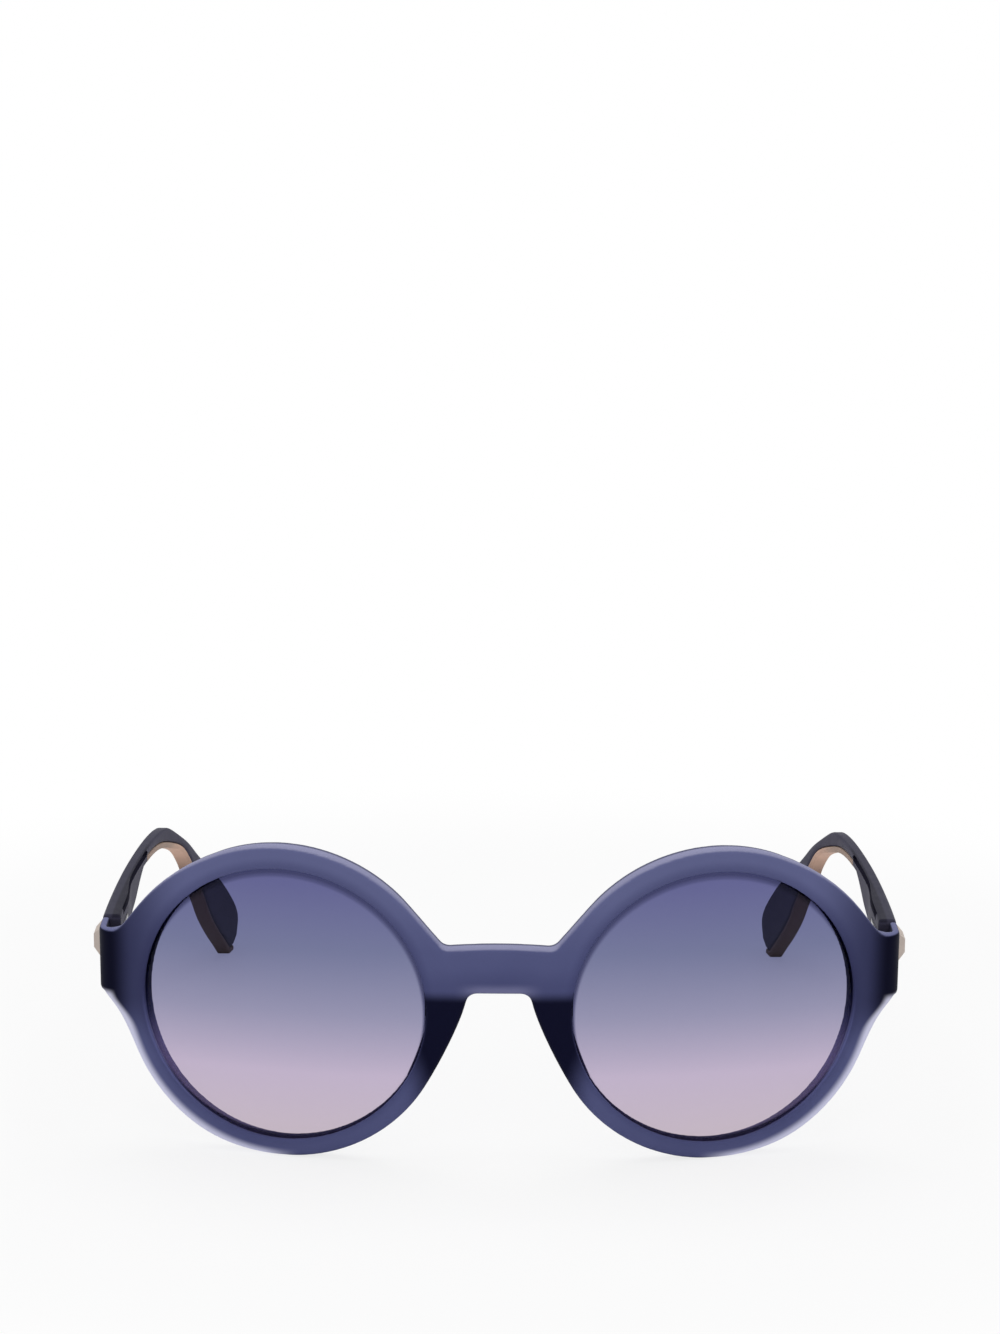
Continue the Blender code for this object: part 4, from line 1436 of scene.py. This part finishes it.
def floor_finish():
    """A white floor that keeps faint shadows near the glasses and runs out into plain white."""
    finish = Finish(bpy.data.materials.new("floor_white"))
    x, y, _, place = finish.places()
    seen = Value(finish, finish.node("ShaderNodeLightPath", {}, {}).outputs["Is Camera Ray"])
    paper = finish.mixed(finish.grain(place, scale=3), srgb(240, 240, 241), srgb(243, 243, 243))
    shaded = finish.principled({"Base Color": paper, "Roughness": 0.9, "Specular IOR Level": 0.1})
    plain = finish.node("ShaderNodeEmission", {}, {"Color": (1, 1, 1, 1), "Strength": 1.0}).outputs[0]
    distance = (x**2 + y**2) ** 0.5
    whiter = floor_glow + (1 - floor_glow) * finish.rise(distance, *floor_white_reach)
    return finish.done(finish.mixed_shader(seen * whiter, shaded, plain))


def add_floor():
    bm = bmesh.new()
    bmesh.ops.create_grid(bm, x_segments=floor_cells, y_segments=floor_cells, size=floor_half)
    mesh = bpy.data.meshes.new("floor")
    bm.to_mesh(mesh)
    bm.free()
    mesh.materials.append(floor_finish())
    floor = added("floor", mesh)
    floor.location.z = -floor_drop


def add_world():
    """White where the camera, gloss or glass looks, and a plain grey level as light."""
    world = bpy.data.worlds.new("studio")
    bpy.context.scene.world = world
    finish = Finish(world)
    path = finish.node("ShaderNodeLightPath", {}, {}).outputs
    seen = [Value(finish, path[name]) for name in ("Is Camera Ray", "Is Glossy Ray", "Is Transmission Ray")]
    white = finish.rise(seen[0] + seen[1] + seen[2], 0, 1)
    level = (world_level, world_level, world_level, 1)
    colour = finish.mixed(white, level, (1, 1, 1, 1))
    finish.done(finish.node("ShaderNodeBackground", {}, {"Color": colour, "Strength": 1.0}).outputs[0])


def add_lamp(name, place, width, depth, power):
    """A soft box at a place, turned to the lamps' aim."""
    lamp = bpy.data.lights.new(name, "AREA")
    lamp.shape = "RECTANGLE"
    lamp.size = width
    lamp.size_y = depth
    lamp.energy = power
    obj = added(name, lamp)
    obj.location = place
    obj.rotation_euler = (Vector(lamp_aim) - Vector(place)).to_track_quat("-Z", "Y").to_euler()


def add_camera():
    camera = bpy.data.cameras.new("camera")
    camera.sensor_fit = "HORIZONTAL"
    camera.sensor_width = camera_sensor
    camera.lens = camera_lens
    camera.clip_start = camera_near
    obj = added("camera", camera)
    aim = Vector(camera_direction).to_track_quat("-Z", "Y").to_matrix().to_4x4()
    obj.matrix_world = Matrix.Translation(camera_place) @ aim @ Matrix.Rotation(camera_roll, 4, "Z")
    bpy.context.scene.camera = obj


# Assembly


def build():
    """Makes every piece with its finish and the node that it stands for."""
    navy = (frosted_navy(), "front_plastic")
    tint = (lens_tint(), "lens_tint")
    arm_navy = (satin_navy(), "temple_plastic")
    strip_tan = (tan_plastic("strip_tan", (192, 158, 140), (216, 179, 157), 0.8, 0.7), "tan_plastic")
    plaque_tan = (tan_plastic("plaque_tan", (190, 178, 171), (214, 200, 190), 0, 0), "tan_plastic")
    metal = (brushed_metal("hinge_metal", (150, 150, 152), (200, 200, 200)), "hinge_metal")

    front = softened(front_frame_mesh(), front_voxel, front_smooth_steps)
    front.shade_smooth()
    show("moulded_front", front, *navy, "front", "frame_front")
    for side, hand in ((-1, "left"), (1, "right")):
        fixed = [
            ("tinted_lens_", lens(side), tint, "lens_"),
            ("front_leaf_", front_hinge_mesh(side), metal, "front_hinge_"),
            ("hinge_screw_", slotted_pin_mesh(side), metal, "hinge_pin_"),
        ]
        for height, place in zip(("lower_", "upper_"), front_screw_places(side)):
            screw = leaf_screw_mesh(place)
            fixed.append(("front_screw_" + height, screw, metal, "front_leaf_screw_" + height))
        folding = [
            ("temple_arm_", temple_mesh(side), arm_navy, "temple_"),
            ("ear_strip_", bowed(strip_outline(), side), strip_tan, "tip_strip_"),
            ("side_tab_", plaque_block(side, 0), plaque_tan, "side_plaque_"),
            ("temple_leaf_", temple_hinge_mesh(side), metal, "temple_hinge_"),
        ]
        for row, place in zip(("front_", "rear_"), temple_screw_places(side)):
            screw = leaf_screw_mesh(place)
            folding.append(("temple_screw_" + row, screw, metal, "temple_leaf_screw_" + row))
        for body, pieces in (("front", fixed), (hand + "_temple", folding)):
            for name, mesh, finish, node in pieces:
                show(name + hand, crisp(mesh), *finish, body, node + hand)


build()
add_floor()
add_world()
for lamp in lamps:
    add_lamp(*lamp)
add_camera()
bpy.context.scene.view_settings.view_transform = "Standard"
